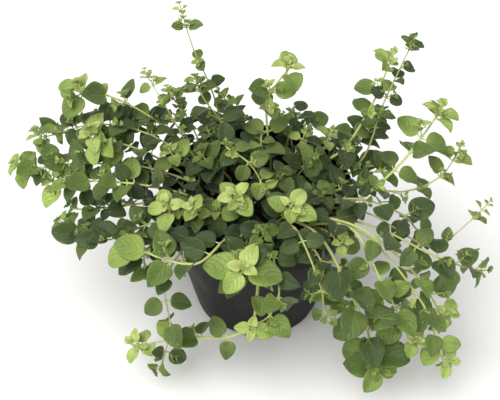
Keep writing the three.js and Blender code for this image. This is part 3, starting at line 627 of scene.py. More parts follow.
def tube_faces(rings, sides):
    """The faces of a closed tube of rings that follow one another, each with the same number of points."""
    faces = [
        (k * sides + j, k * sides + (j + 1) % sides, (k + 1) * sides + (j + 1) % sides, (k + 1) * sides + j)
        for k in range(rings - 1)
        for j in range(sides)
    ]
    last = (rings - 1) * sides
    return [*faces, tuple(range(sides))[::-1], tuple(range(last, last + sides))]


TWIG_SIDES = 6


def add_twig(skin, path, radii, **paint):
    """A thin round tube along a path, closed at both ends."""
    path = np.asarray(path)
    tangents = np.gradient(path, axis=0)
    normal = np.cross(tangents[0], UP if abs(unit(tangents[0])[2]) < 0.9 else (1.0, 0.0, 0.0))
    angles = np.arange(TWIG_SIDES) * 2 * math.pi / TWIG_SIDES
    rings = []
    for at, tangent, radius in zip(path, tangents, radii):
        tangent = unit(tangent)
        normal = unit(normal - tangent * (normal @ tangent))
        binormal = np.cross(tangent, normal)
        rings.append(at + radius * (np.outer(np.cos(angles), normal) + np.outer(np.sin(angles), binormal)))
    skin.add(np.concatenate(rings), tube_faces(len(rings), TWIG_SIDES), STEM_SKIN, **paint)


# The finished blade. A pair of numbers is the least and the most that chance gives, and lengths are shares
# of the blade's length or width.
BLADE_GRIDS = ((15, 18, 10), (8, 14, 8), (3.5, 10, 6), (0, 6, 4))  # from a length up: rows and columns
BLADE_TAPER = (0.52, 0.82)  # from blunt to pointed
VEIN_SLANT = 0.7
VEIN_BEND = 1.3
WAVES = (1.3, 2.5)  # along each margin
WAVE_LEAD = 0.37  # how much of a wave the left margin is ahead of the middle, and the right behind it
FOLD = 0.7  # how far a blade's cup is a fold along its midrib
EXTRA_FOLD = (0, 0.16)
RIB_BOW = (-0.175, 0.175)  # how far the midrib bows to one side
GROOVE_WIDTH = 0.12
HOOK = (0.02, 0.1)  # how far the tip bends down,
HOOK_START = 0.6  # and from where on
TWIST = (-0.25, 0.25)
THINNING = 0.6  # how much of its thickness, squared, a blade loses towards its tip


def fine_outline(u, taper):
    """Half width of a finished blade: fuller than outline gives it for a plain one, and blunt to pointed."""
    return 1.03 * u ** 0.41 * (1 - u) ** taper


def blade_faces(rows, columns, below, start, tip):
    """The faces of a blade's upper side, then those of its lower side, which has points of its own below."""
    width = columns + 1
    faces = []
    for flip in (False, True):
        laid = []
        for j in range(columns):
            right, left = (
                [below.get(i * width + k, i * width + k) if flip else i * width + k for i in range(rows - 1)]
                for k in (j, j + 1)
            )
            laid.append((start, right[0], left[0]))
            laid.append((right[-1], tip, left[-1]))
            laid += zip(right[:-1], right[1:], left[1:], left[:-1])
        faces += [face[::-1] for face in laid] if flip else laid
    return faces


def add_blade(skin, leaf, tone, random, look):
    """A leaf blade: a thin closed skin that is quilted between its veins and waved at its margin."""
    length = leaf["length"]
    rows, columns = next(grid[1:] for grid in BLADE_GRIDS if length >= grid[0])
    u = (1 - np.cos(np.pi * np.arange(1, rows) / rows)) / 2
    v = np.linspace(-1, 1, columns + 1)
    U, V = (grid.ravel() for grid in np.meshgrid(u, v, indexing="ij"))
    chance = next(random)
    shape = fine_outline(U, BLADE_TAPER[0] + (BLADE_TAPER[1] - BLADE_TAPER[0]) * chance)
    half = leaf["width"] * shape
    wide = shape / outline(U)
    side = np.abs(V)
    phase, waves = next(random), between(random, *WAVES)
    wave = np.sin(2 * math.pi * (waves * U + phase + WAVE_LEAD * np.sign(V))) * side ** 3
    fold = half * (leaf["cup"] * FOLD * (side - V * V) + between(random, *EXTRA_FOLD) * side)
    lap = V * wide + between(random, *RIB_BOW) * np.sin(math.pi * U) * (1 - side)
    veins = (U - VEIN_SLANT * side ** VEIN_BEND) * look.vein_pairs + chance
    bulge = look.quilting * length
    quilt = bulge * (0.5 - 0.5 * np.cos(2 * math.pi * veins)) * np.sin(math.pi * side) * (1 - U)
    groove = bulge * np.exp(-((V / GROOVE_WIDTH) ** 2)) * np.sin(math.pi * U)
    hook = between(random, *HOOK) * length
    bend = hook * np.clip((U - HOOK_START) / (1 - HOOK_START), 0, 1) ** 2
    twist = between(random, *TWIST) * half * V * U
    lift = look.waviness * length * wave + fold + quilt - groove - bend + twist
    thickest = look.thickness / MM * min(1, length / 10 + 0.3)
    thickness = thickest * np.sqrt(np.clip(1 - V * V, 0, 1)) * np.sqrt(1 - U * THINNING)
    top = blade_points(leaf, U, lap, lift + thickness / 2)
    low = blade_points(leaf, U, lap, lift - thickness / 2)
    inner = (side < 1).nonzero()[0]
    ends = blade_points(leaf, np.array([0.0, 1.0]), np.zeros(2), np.array([0.0, -hook]))
    points = np.concatenate([top, low[inner], ends])
    below = {index: len(top) + k for k, index in enumerate(inner)}
    faces = blade_faces(rows, columns, below, len(points) - 2, len(points) - 1)
    along = np.concatenate([U, U[inner], [0, 1]])
    across = np.concatenate([V, V[inner], [0, 0]])
    under = np.concatenate([np.zeros(len(top)), np.ones(len(inner)), [0.5, 0.5]])
    shaded = np.clip(tone + look.light_base * tone * (1 - along) ** 2, 0, 1)
    skin.add(points, faces, BLADE_SKIN, tone=shaded, along=along, across=across, under=under, chance=chance)


# A stalk. Its radius and its midrib's depth under the blade are a length and a share of the blade's length.
STALK_RADIUS = (0.22, 0.014)
MIDRIB_DEPTH = (0.12, 0.006)
STALK_START = 0.3  # how deep in the stem it begins
STALK_SAG = 0.015
STALK_TAPER = (1.25, 1)
MIDRIB_TAPER = ((0.0, 0.95), (0.06, 0.8), (0.2, 0.65), (0.4, 0.5), (0.62, 0.36), (0.85, 0.15))


def add_stalk(skin, leaf, tone, chance):
    """The leaf's stalk, which runs on below the blade as its midrib."""
    radius, depth = (least + share * leaf["length"] for least, share in (STALK_RADIUS, MIDRIB_DEPTH))
    reach, taper = np.array(MIDRIB_TAPER).T
    below = blade_points(leaf, reach, np.zeros(len(reach)), np.full(len(reach), -depth))
    start = leaf["root"] - leaf["face"] * STALK_START
    path = [start, (start + below[0]) / 2 - UP * STALK_SAG * leaf["length"], *below]
    radii = [radius * share for share in (*STALK_TAPER, *taper)]
    add_twig(skin, path, radii, tone=tone, along=0.75, chance=chance)


STEM_SIDES = 12
HOLLOW = 0.12  # how far the sides of the square stem sink in
SWELLING = 0.3  # of the stem where its leaves leave,
SWELLING_REACH = 0.9  # and how far it goes
FAR_AWAY = 9.0  # the distance to its leaves on a stem that has none


def add_stem(skin, line, girth, nodes, tone, chance):
    """The square stem with rounded corners and hollow sides, a little swollen where its leaves leave."""
    last = len(line) - 1
    stops = sorted({*range(last + 1), *(i + d for i in nodes for d in (-0.4, 0.4) if 0 < i < last)})
    angles = np.arange(STEM_SIDES) * 2 * math.pi / STEM_SIDES
    section = 1.0 - HOLLOW * np.cos(4 * angles)
    rings, share = [], []
    for stop in stops:
        low = min(int(stop), last - 1)
        part = stop - low
        at, side, across = (
            line[low][name] * (1 - part) + line[low + 1][name] * part for name in ("at", "side", "across")
        )
        near = min((abs(stop - i) * STEP for i in nodes), default=FAR_AWAY)
        radius = half_girth(girth, stop, line) * (1 + SWELLING * math.exp(-((near / SWELLING_REACH) ** 2)))
        ring = np.outer(np.cos(angles) * section, unit(side))
        ring += np.outer(np.sin(angles) * section, unit(across))
        rings.append(at + radius * ring)
        share.append(np.full(STEM_SIDES, stop / last))
    faces = tube_faces(len(rings), STEM_SIDES)
    skin.add(np.concatenate(rings), faces, STEM_SKIN, tone=tone, along=np.concatenate(share), chance=chance)


HAIR_SIDES = ((0, 2, 3), (2, 1, 3), (1, 0, 3), (0, 1, 2))
HAIR_DROP = 0.3  # how much hairs point back down the stem
HAIR_WIDENING = 1.6


def add_hairs(skin, line, girth, tone, random, look):
    """Short soft hairs that stand out from the stem above the soil."""
    first = (ROOT_DEPTH + UPRIGHT) // STEP
    last = len(line) - 1
    thick = look.hair_thickness / MM / 2
    spikes = []
    for _ in range(int(look.hairs_per_cm * (len(line) - first) * STEP / 10)):
        place = between(random, first, last)
        low = int(place)
        spot = line[low]
        at = spot["at"] * (low + 1 - place) + line[min(low + 1, last)]["at"] * (place - low)
        angle = 2 * math.pi * next(random)
        out = spot["side"] * math.cos(angle) + spot["across"] * math.sin(angle)
        around = np.cross(spot["along"], out) * thick
        foot = at + out * half_girth(girth, place, line)
        tip = foot + (out - spot["along"] * HAIR_DROP) * look.hair_length / MM * between(random, 0.6, 1.4)
        spikes += [foot + around, foot - around, foot + spot["along"] * thick * HAIR_WIDENING, tip]
    faces = [tuple(k + corner for corner in side) for k in range(0, len(spikes), 4) for side in HAIR_SIDES]
    if spikes:
        skin.add(np.array(spikes), faces, STEM_SKIN, tone=tone, along=1.0, chance=0.5)


BUD_SHARE = 0.22  # of the longest leaf
SMALLEST_BUD = 1.8
BUD_DEPTH = 0.6  # how far below the stem's end its leaves begin
BUD_DROOP, BUD_CUP = 0.05, 0.6


def add_bud(skin, line, row, random, look):
    """The folded youngest leaves round a stem's tip."""
    end = line[-1]
    root = end["at"] - end["along"] * BUD_DEPTH
    light = end["along"] + UP * 0.3
    for pair in (0, 1):
        size = max(SMALLEST_BUD, BUD_SHARE * row.longest) * (1 - 0.3 * pair)
        lean = math.radians(42 + 22 * pair)
        for face in faces_of_pair(line, -1, pair):
            aim = face * math.cos(lean) + end["along"] * math.sin(lean)
            leaf = make_leaf(root, aim, light, size, BUD_DROOP, BUD_CUP)
            add_blade(skin, leaf, min(1, row.tone + 0.2), random, look)


# Tones: from 0, old and dark, to 1, young and lime. Painted shade lowers the tones of leaves deep in the
# crown.
OLD_TONE = 0.15
PALE_STEM = 0.38  # how much paler leaves are on the palest stem,
PALE_LOSS = 0.8  # and how much of that is lost at its foot
FRESH_TONE = (0.18, 0.33)  # of the youngest leaves: on any stem, and more on the palest one
# Painted shade: how far a leaf's tone drops deep inside the crown.
PAINTED_CROWN_SHADE = 0.2
TONE_CHANCE = (-0.1, 0.1)
TUFT_TONE, TUFT_TONE_STEP = 0.34, 0.09  # of a side shoot's lowest leaves, and from pair to pair above them
TUFT_TONE_CHANCE = (-0.07, 0.07)
TUFT_RADII = (0.5, 0.42, 0.3)


def leaf_tone(stem_tone, leaf):
    """A leaf's tone: paler on a pale stem and near its tip, and darker deep in the crown, where shade is
    painted into it.
    """
    x, y, z = leaf["root"]
    # How deep the leaf sits in the crown's painted shade, from 0 to 1.
    depth = min(1, max(0, (CROWN_TOP - z) / CROWN_DEPTH)) * (math.hypot(x, y) < CROWN_RADIUS)
    fresh = (FRESH_TONE[0] + FRESH_TONE[1] * stem_tone) * max(0, 1 - leaf["pair"] / FRESH_PAIRS)
    pale = PALE_STEM * stem_tone * (1 - PALE_LOSS * leaf["age"])
    return OLD_TONE + pale + fresh * (leaf["age"] < FOOT_AGE) - PAINTED_CROWN_SHADE * depth


def dress_stem(line, row, leaves, tufts, random, look):
    """The whole skin of one stem: stem, stalks, blades, side shoots, tip and hairs."""
    skin = Skin()
    add_stem(skin, line, row.girth, [leaf["i"] for leaf in leaves], row.tone, next(random))
    for leaf in leaves:
        tone = leaf_tone(row.tone, leaf) + between(random, *TONE_CHANCE)
        add_stalk(skin, leaf, row.tone, next(random))
        add_blade(skin, leaf, tone, random, look)
    for tuft in tufts:
        tip = tuft["foot"] + tuft["axis"] * tuft["height"]
        middle = (tuft["foot"] + tip) / 2
        add_twig(skin, [tuft["foot"], middle, tip], TUFT_RADII, tone=row.tone, along=1.0)
        for leaf in tuft["leaves"]:
            tone = TUFT_TONE + PALE_STEM * row.tone + TUFT_TONE_STEP * leaf["pair"]
            add_blade(skin, leaf, tone + between(random, *TUFT_TONE_CHANCE), random, look)
    add_bud(skin, line, row, random, look)
    add_hairs(skin, line, row.girth, row.tone, random, look)
    return skin


# ---------------------------------------------------------------- materials

def add_node(tree, kind, inputs=(), output=0, stops=None, **settings):
    """Adds a node and gives back one of its outputs; an input is a plain value or another node's output."""
    node = tree.nodes.new("ShaderNode" + kind)
    for name, value in settings.items():
        setattr(node, name, value)
    for name, given in inputs.items() if isinstance(inputs, dict) else enumerate(inputs):
        if isinstance(given, bpy.types.NodeSocket):
            tree.links.new(given, node.inputs[name])
        else:
            node.inputs[name].default_value = given
    if stops:
        ramp = node.color_ramp
        while len(ramp.elements) < len(stops):
            ramp.elements.new(0.5)
        for element, (position, colour) in zip(ramp.elements, stops):
            element.position = position
            element.color = (*colour, 1)
    return node.outputs[output] if node.outputs else None


def new_material(name):
    """An empty material, what adds a node to it, and the place of each point in metres."""
    material = bpy.data.materials.new(name)
    material.use_nodes = True
    material.node_tree.nodes.clear()
    add = partial(add_node, material.node_tree)
    return material, add, add("TexCoord", output="Object")


def oregano_leaf(look):
    """Living leaf: soft and matt from its fine hairs, lit through where it is thin, with sunken veins and
    painted shade in their furrows.
    """
    material, add, place = new_material("living_oregano_leaf")
    tone, along, across, under, chance = (
        add("Attribute", output="Fac", attribute_name=name) for name in PAINT
    )
    side = add("Math", (across,), operation="ABSOLUTE")
    bent = add("Math", (side, VEIN_BEND), operation="POWER")
    slant = add("Math", (bent, -VEIN_SLANT, along), operation="MULTIPLY_ADD")
    beat = add("Math", (slant, look.vein_pairs, chance), operation="MULTIPLY_ADD")
    apart = add("Math", (beat, 0.5), operation="PINGPONG")
    # A side vein is drawn about 0.4 mm wide, twice its real width, or it would not show.
    vein, rib, trough = (
        add("MapRange", {"Value": distance, "From Max": width, "To Min": 1.0, "To Max": 0.0},
            interpolation_type="SMOOTHSTEP")
        for distance, width in ((apart, 0.1), (side, 0.07), (side, 0.16))
    )
    rim = add("Math", (side, 3.0), operation="POWER")
    inner = add("Math", (1.0, rim), operation="SUBTRACT")
    lateral = add("Math", (vein, inner), operation="MULTIPLY")
    midrib = add("Math", (lateral, rib), operation="MAXIMUM")
    rest = add("Math", (1.0, along), operation="SUBTRACT")
    near = add("Math", (rest, 2.0), operation="POWER")
    pale = add("Math", (midrib, near), operation="MULTIPLY")
    # Patches of 15 mm shift the green a little, and specks of 1 mm mottle it.
    patches = add("TexNoise", {"Vector": place, "Scale": 65.0, "Detail": 2.0})
    specks = add("TexNoise", {"Vector": place, "Scale": 1000.0, "Detail": 3.0})
    for shift, share in ((patches, 0.3), (specks, 0.2), (chance, 0.16)):
        middle = add("Math", (shift, -0.5), operation="ADD")
        tone = add("Math", (middle, share, tone), operation="MULTIPLY_ADD")
    stops = ((0, look.oldest), (0.25, look.old), (0.5, look.grown), (0.75, look.young), (1, look.youngest))
    green = add("ValToRGB", {"Fac": tone}, stops=stops)
    # Painted shade: the furrows of the side veins and of the midrib are mixed a little towards the old leaf
    # colour, more so towards the tip.
    furrow = add("Math", (lateral, trough), operation="MAXIMUM")
    furrow_shade = add("Math", (furrow, along), operation="MULTIPLY")
    for cover, share, colour in ((furrow_shade, 0.14, look.old), (pale, 0.4, look.rib), (under, 0.7, look.underside)):
        factor = add("Math", (cover, share), operation="MULTIPLY")
        green = add("Mix", {"Factor": factor, "A": green, "B": (*colour, 1)}, "Result", data_type="RGBA")
    # The veins are sunk into the upper face, and stand out from the lower one.
    lines = add("Math", (lateral, midrib), operation="ADD")
    facing = add("Math", (under, 1.2, -0.5), operation="MULTIPLY_ADD")
    carved = add("Math", (lines, facing), operation="MULTIPLY")
    relief = add("Math", (specks, 0.35, carved), operation="MULTIPLY_ADD")
    bump = add("Bump", {"Height": relief, "Distance": 0.5 * MM, "Strength": 0.8})
    rough = add("Math", (specks, 0.3, 0.42), operation="MULTIPLY_ADD")
    surface = add("BsdfPrincipled", {
        "Base Color": green, "Roughness": rough, "Normal": bump, "IOR": 1.42, "Sheen Weight": 0.08,
        "Sheen Roughness": 0.5, "Subsurface Weight": 0.2, "Subsurface Radius": (0.5, 1.0, 0.25),
        "Subsurface Scale": 1.2 * MM,
    })
    add("OutputMaterial", {"Surface": surface})
    return material


def oregano_stem(look):
    """Stem and stalk: woody brown at the foot, then yellow-green, paler on young shoots, finely grained."""
    material, add, place = new_material("living_oregano_stem")
    along, tone = (add("Attribute", output="Fac", attribute_name=name) for name in ("along", "tone"))
    # Blotches of 4 mm break up the change of colour, and the skin's grain is 0.4 mm across.
    blotch = add("TexNoise", {"Vector": place, "Scale": 250.0, "Detail": 3.0})
    grain = add("TexNoise", {"Vector": place, "Scale": 2500.0, "Detail": 2.0})
    shifted = add("Math", (blotch, 0.3, along), operation="MULTIPLY_ADD")
    stops = ((0.15, look.woody), (0.4, look.stem_old), (0.8, look.stem))
    skin = add("ValToRGB", {"Fac": shifted}, stops=stops)
    fresh = add("Math", (tone, 0.85), operation="MULTIPLY")
    skin = add("Mix", {"Factor": fresh, "A": skin, "B": (*look.stem_young, 1)}, "Result", data_type="RGBA")
    bump = add("Bump", {"Height": grain, "Distance": 0.1 * MM, "Strength": 0.5})
    surface = add("BsdfPrincipled", {
        "Base Color": skin, "Roughness": 0.55, "Normal": bump, "IOR": 1.42, "Subsurface Weight": 0.15,
        "Subsurface Radius": (0.6, 0.8, 0.2), "Subsurface Scale": 1.0 * MM,
    })
    add("OutputMaterial", {"Surface": surface})
    return material


def moulded_polypropylene(look):
    """Black polypropylene, injection moulded: satin, with a spark-eroded grain and rubbed, dusty places."""
    material, add, place = new_material("moulded_polypropylene")
    # Wear comes in patches of 20 mm, dust in specks of 1.5 mm, and the mould's grain is drawn 0.6 mm apart.
    patches = add("TexNoise", {"Vector": place, "Scale": 50.0, "Detail": 4.0})
    specks = add("TexNoise", {"Vector": place, "Scale": 700.0, "Detail": 3.0})
    grain = add("TexVoronoi", {"Vector": place, "Scale": 1700.0})
    worn = add("Math", (patches, specks), operation="MULTIPLY")
    stops = ((0.2, look.plastic), (0.42, look.worn_plastic))
    colour = add("ValToRGB", {"Fac": worn}, stops=stops)
    limits = {"From Min": 0.3, "From Max": 0.7, "To Min": 0.4, "To Max": 0.55}
    rough = add("MapRange", {"Value": patches, **limits})
    bump = add("Bump", {"Height": grain, "Distance": 0.05 * MM, "Strength": 0.35})
    surface = add("BsdfPrincipled", {
        "Base Color": colour, "Roughness": rough, "Normal": bump, "IOR": 1.49, "Specular IOR Level": 0.14,
    })
    add("OutputMaterial", {"Surface": surface})
    return material


def potting_mix(look):
    """Potting mix of peat and composted bark: dull, nearly black where damp, brown where it is dry."""
    material, add, place = new_material("damp_peat_potting_mix")
    # Crumbs are about 2 mm across, and damp places about 15 mm.
    crumbs = add("TexNoise", {"Vector": place, "Scale": 500.0, "Detail": 5.0})
    damp = add("TexNoise", {"Vector": place, "Scale": 65.0, "Detail": 2.0})
    mixed = add("Math", (damp, 0.6, crumbs), operation="MULTIPLY_ADD")
    stops = ((0.6, look.damp_peat), (0.82, look.peat), (0.98, look.bark))
    colour = add("ValToRGB", {"Fac": mixed}, stops=stops)
    bump = add("Bump", {"Height": crumbs, "Distance": 0.5 * MM, "Strength": 0.9})
    surface = add("BsdfPrincipled", {
        "Base Color": colour, "Roughness": 0.93, "Normal": bump, "Specular IOR Level": 0.2,
    })
    add("OutputMaterial", {"Surface": surface})
    return material


def expanded_perlite(look):
    """Expanded perlite: white volcanic glass puffed up by heat, chalky and pitted, stained by the peat."""
    material, add, place = new_material("expanded_perlite")
    # The pits are 0.4 mm across, and stains 2 mm.
    pits = add("TexNoise", {"Vector": place, "Scale": 2500.0, "Detail": 3.0})
    stains = add("TexNoise", {"Vector": place, "Scale": 450.0, "Detail": 2.0})
    stops = ((0.42, look.perlite), (0.75, look.stained_perlite))
    colour = add("ValToRGB", {"Fac": stains}, stops=stops)
    bump = add("Bump", {"Height": pits, "Distance": 0.15 * MM, "Strength": 0.8})
    surface = add("BsdfPrincipled", {"Base Color": colour, "Roughness": 0.9, "Normal": bump})
    add("OutputMaterial", {"Surface": surface})
    return material


ROLLER_SHADE = 0.985  # how light the roller's marks are beside the rest


def painted_board(look):
    """The studio floor: a smooth board with matt white paint, all but even in colour."""
    material, add, place = new_material("matt_painted_board")
    # The roller's marks are drawn 3 mm apart.
    roller = add("TexNoise", {"Vector": place, "Scale": 300.0, "Detail": 2.0})
    darker = tuple(channel * ROLLER_SHADE for channel in look.floor)
    colour = add("ValToRGB", {"Fac": roller}, stops=((0.3, darker), (0.7, look.floor)))
    surface = add("BsdfPrincipled", {"Base Color": colour, "Roughness": 0.8})
    add("OutputMaterial", {"Surface": surface})
    return material


# ---------------------------------------------------------------- pot and soil

POT_SIDES, SOIL_SIDES, HOLE_SIDES = 160, 96, 28
SHARPEST_POT, SHARPEST_SOIL = 35, 60  # the angles in degrees up to which their faces are shaded as one
FILLET_STEPS = 4
SOIL_INSET = WALL + 0.6 + SOIL_GAP  # the wall's thickness across its slope, and a gap
SOIL_RADIUS = wall_radius(SOIL_LEVEL - 6) - SOIL_INSET  # at its top, clear of the corner below the rim band
SOIL_RINGS = 30
FIRST_RING = 1.4
HEAPS = ((0.12, 0.9, 0), (0.4, 0.5, 7))  # how closely the heaps follow one another, their height, and a seed
HEAP_FADE = 6  # how far from the soil's edge they begin to fade
STREWN_RADIUS = SOIL_RADIUS - 2
CRUMB_TILT, CRUMB_TURN = 0.5, 6.3  # the most that a lump is tilted, and turned about the upright, in radians
CRUMB_BULGES, CRUMB_BULGE = 2.2, 0.45  # how close together a lump's bulges are, and how large
CRUMB_DEPTH = 0.2  # how far a lump is sunk in
FIBRE_RINGS = 5
FIBRE_LIFT = 0.7
HOLE_MIDDLE, HOLE_DEPTH = 3, 8  # the height of the middle, and the length, of the cutters of the drain holes
NOTCH_EXCESS = 6  # how much wider than the foot ring the cutters of its gaps are


def rounded(profile, fillets):
    """The profile with each corner that has a fillet replaced by a short arc."""
    points = []
    for k, (corner, fillet) in enumerate(zip(profile, fillets)):
        if not fillet:
            points.append(corner)
            continue
        before, here, after = (np.array(profile[(k + d) % len(profile)], dtype=float) for d in (-1, 0, 1))
        ways = [unit(before - here), unit(after - here)]
        start, end = (
            here + way * min(fillet, math.dist(here, near) * 0.45) for way, near in zip(ways, (before, after))
        )
        for step in range(FILLET_STEPS + 1):
            w = step / FILLET_STEPS
            points.append(tuple(start * (1 - w) ** 2 + here * 2 * w * (1 - w) + end * w * w))
    return points


def turned(profile, sides):
    """A bmesh of a closed profile of radii and heights, turned round the upright axis."""
    shape = bmesh.new()
    rings = []
    for radius, height in profile:
        if radius < 1e-6:
            rings.append([shape.verts.new((0, 0, height * MM))] * sides)
            continue
        ring = [in_bearing(radius * MM, 360 * j / sides) for j in range(sides)]
        rings.append([shape.verts.new((x, y, height * MM)) for x, y in ring])
    for low, high in zip(rings, rings[1:]):
        for j in range(sides):
            k = (j + 1) % sides
            corners = dict.fromkeys((low[j], low[k], high[k], high[j]))
            if len(corners) > 2:
                shape.faces.new(corners)
    bmesh.ops.recalc_face_normals(shape, faces=shape.faces)
    return shape


def object_of(shape, name, materials=()):
    """The piece that a bmesh becomes."""
    mesh = bpy.data.meshes.new(name)
    shape.to_mesh(mesh)
    shape.free()
    return new_piece(name, mesh, materials)


def cut_away(piece, cutter):
    """Subtracts the cutter from the piece, and removes it."""
    boolean = piece.modifiers.new("cut", "BOOLEAN")
    boolean.operation = "DIFFERENCE"
    boolean.solver = "EXACT"
    boolean.object = cutter
    graph = bpy.context.evaluated_depsgraph_get()
    mesh = bpy.data.meshes.new_from_object(piece.evaluated_get(graph))
    old = piece.data
    piece.modifiers.clear()
    piece.data = mesh
    mesh.name = old.name
    bpy.data.meshes.remove(old)
    bpy.data.objects.remove(cutter)


def smooth_by_angle(mesh, degrees):
    """Shades faces as one where they meet at less than an angle."""
    mesh.polygons.foreach_set("use_smooth", [True] * len(mesh.polygons))
    mesh.set_sharp_from_angle(angle=math.radians(degrees))


def pot_shape(look):
    """The pot: a tapered wall with a rim band and a rolled lip, and a base with a raised drain channel."""
    wall_top = wall_radius(SHOULDER)
    floor = DRAIN_RAISE + WALL
    edge = look.fillet / MM
    # Each corner, from the middle of the underside up the outside and down the inside, and its fillet.
    corners = (
        ((0, 0), 0), ((PAD_RADIUS, 0), edge), ((PAD_RADIUS + 2, DRAIN_RAISE), edge),
        ((RING_INNER - 1, DRAIN_RAISE), edge), ((RING_INNER, 0), edge), ((FOOT_RADIUS, 0), 2 * edge),
        ((wall_top, SHOULDER), edge), ((RIM_RADIUS - 0.4, SHOULDER + 0.6), edge),
        ((RIM_RADIUS, POT_HEIGHT), 1.4), ((RIM_RADIUS - 3, POT_HEIGHT), 1.1),
        ((wall_top - WALL, SHOULDER - 2), edge), ((FOOT_RADIUS - WALL + 0.6, floor), 2 * edge),
        ((PAD_RADIUS + 1, floor), edge), ((PAD_RADIUS, WALL + 1), edge), ((0, WALL + 1), 0),
    )
    return turned(rounded(*zip(*corners)), POT_SIDES)


def drain_cutters():
    """The drain holes in the channel, and the gaps in the ring that the pot stands on."""
    shape = bmesh.new()
    for k in range(DRAIN_HOLES):
        x, y = in_bearing((PAD_RADIUS + RING_INNER + 1) / 2, FIRST_NOTCH + 360 / DRAIN_HOLES * k)
        place = Matrix.Translation((x * MM, y * MM, HOLE_MIDDLE * MM))
        bmesh.ops.create_cone(shape, cap_ends=True, segments=HOLE_SIDES, radius1=DRAIN_RADIUS * MM,
                              radius2=DRAIN_RADIUS * MM, depth=HOLE_DEPTH * MM, matrix=place)
    width = 2 * FOOT_RADIUS * math.tan(math.radians(NOTCH_ANGLE / 2))
    for k in range(FOOT_NOTCHES):
        size = Matrix.Diagonal(((FOOT_RING + NOTCH_EXCESS) * MM, width * MM, 2 * DRAIN_RAISE * MM, 1))
        place = Matrix.Rotation(math.radians(FIRST_NOTCH + 360 / FOOT_NOTCHES * k), 4, "Z")
        out = Matrix.Translation(((FOOT_RADIUS - FOOT_RING / 2 + 1) * MM, 0, 0))
        bmesh.ops.create_cube(shape, size=1, matrix=place @ out @ size)
    return object_of(shape, "cutters")


def unevenness(x, y):
    """How the soil's top rises and falls."""
    return 1.1 * math.sin(0.21 * x + 1) * math.cos(0.17 * y) + 0.7 * math.sin(0.33 * y - 0.12 * x)


def soil_shape():
    """The lump of soil under its crumbs: level but for its unevenness and many small pits and heaps."""
    bottom = DRAIN_RAISE + WALL + SOIL_GAP
    rings = [(radius, SOIL_LEVEL) for radius in np.linspace(FIRST_RING, SOIL_RADIUS, SOIL_RINGS)]
    profile = [(0, SOIL_LEVEL), *rings, (wall_radius(bottom) - SOIL_INSET, bottom), (0, bottom)]
    shape = turned(profile, SOIL_SIDES)
    for vertex in shape.verts:
        if vertex.co.z > (SOIL_LEVEL - 1) * MM:
            x, y = vertex.co.x / MM, vertex.co.y / MM
            heaps = sum(noise.noise(Vector((x, y, seed)) * pitch) * height for pitch, height, seed in HEAPS)
            fade = min(1, (SOIL_RADIUS - math.hypot(x, y)) / HEAP_FADE)
            vertex.co.z += (unevenness(x, y) + (heaps - 0.5) * fade) * MM
    return shape


def strewn(random):
    """The x and y of a place on the soil, where each part of it is as likely as the next."""
    return in_bearing(STREWN_RADIUS * math.sqrt(next(random)), 360 * next(random))


def add_crumbs(shape, lumps, size, flatness, random, index, rough):
    """Strews lumps over the soil, each sunk a little into it."""
    for _ in range(lumps):
        x, y = strewn(random)
        scale = size * (0.5 + next(random) ** 2)
        squash = between(random, flatness, 1)
        angles = [most * next(random) for most in (CRUMB_TILT, CRUMB_TILT, CRUMB_TURN)]
        sizes = Matrix.Diagonal((scale * MM, scale * between(random, 0.6, 1.1) * MM, scale * squash * MM, 1))
        z = SOIL_LEVEL + unevenness(x, y) - CRUMB_DEPTH + 0.25 * scale * squash
        place = Matrix.Translation((x * MM, y * MM, z * MM)) @ Euler(angles).to_matrix().to_4x4() @ sizes
        lump = bmesh.ops.create_icosphere(shape, subdivisions=rough, radius=0.5, matrix=place)
        centre = Vector((x, y, z)) * MM
        for vertex in lump["verts"]:
            bulge = CRUMB_BULGE * noise.noise(vertex.co / MM / scale * CRUMB_BULGES)
            vertex.co = centre + (vertex.co - centre) * (1 + bulge)
            for face in vertex.link_faces:
                face.material_index = index


def add_fibres(shape, fibres, random):
    """Bits of root and bark fibre that lie on the soil."""
    for _ in range(fibres):
        x, y = strewn(random)
        heading = 360 * next(random)
        length, bend = between(random, 4, 12), between(random, -45, 45)
        thick = between(random, 0.15, 0.4)
        rings = []
        while len(rings) < FIBRE_RINGS and math.hypot(x, y) < STREWN_RADIUS:
            z = SOIL_LEVEL + unevenness(x, y) + FIBRE_LIFT
            across = in_bearing(thick, heading + 90)
            corners = ((across[0], across[1], 0), (0, 0, thick * 1.2), (-across[0], -across[1], 0))
            rings.append([shape.verts.new(((x + a) * MM, (y + b) * MM, (z + c) * MM)) for a, b, c in corners])
            step = in_bearing(length / FIBRE_RINGS, heading)
            x, y, heading = x + step[0], y + step[1], heading + bend / FIBRE_RINGS
        if len(rings) < 2:
            bmesh.ops.delete(shape, geom=[vertex for ring in rings for vertex in ring])
            continue
        for last, ring in zip(rings, rings[1:]):
            for j in range(3):
                shape.faces.new((last[j], last[(j + 1) % 3], ring[(j + 1) % 3], ring[j]))
        shape.faces.new(rings[0][::-1])
        shape.faces.new(rings[-1])


# ---------------------------------------------------------------- settings

def colour_setting(name, description, code):
    """A colour, given as an sRGB hex value."""
    return FloatVectorProperty(name=name, description=description, subtype="COLOR", size=3, min=0, max=1,
                               default=linear(code))


def length_setting(name, description, millimetres):
    """A length, given in millimetres."""
    return FloatProperty(name=name, description=description, default=millimetres * MM, unit="LENGTH")


def share_setting(name, description, share):
    """A share of something, with 1 for all of it."""
    return FloatProperty(name=name, description=description, default=share, subtype="FACTOR")


class PotLook(PropertyGroup):
    """Sizes and colours of the pot"""
    fillet: length_setting("Edge radius", "How far the moulded edges are rounded", 0.7)
    plastic: colour_setting("Plastic", "Black polypropylene", "#0a0a0b")
    worn_plastic: colour_setting("Worn plastic", "Where the pot is rubbed or dusty", "#151517")


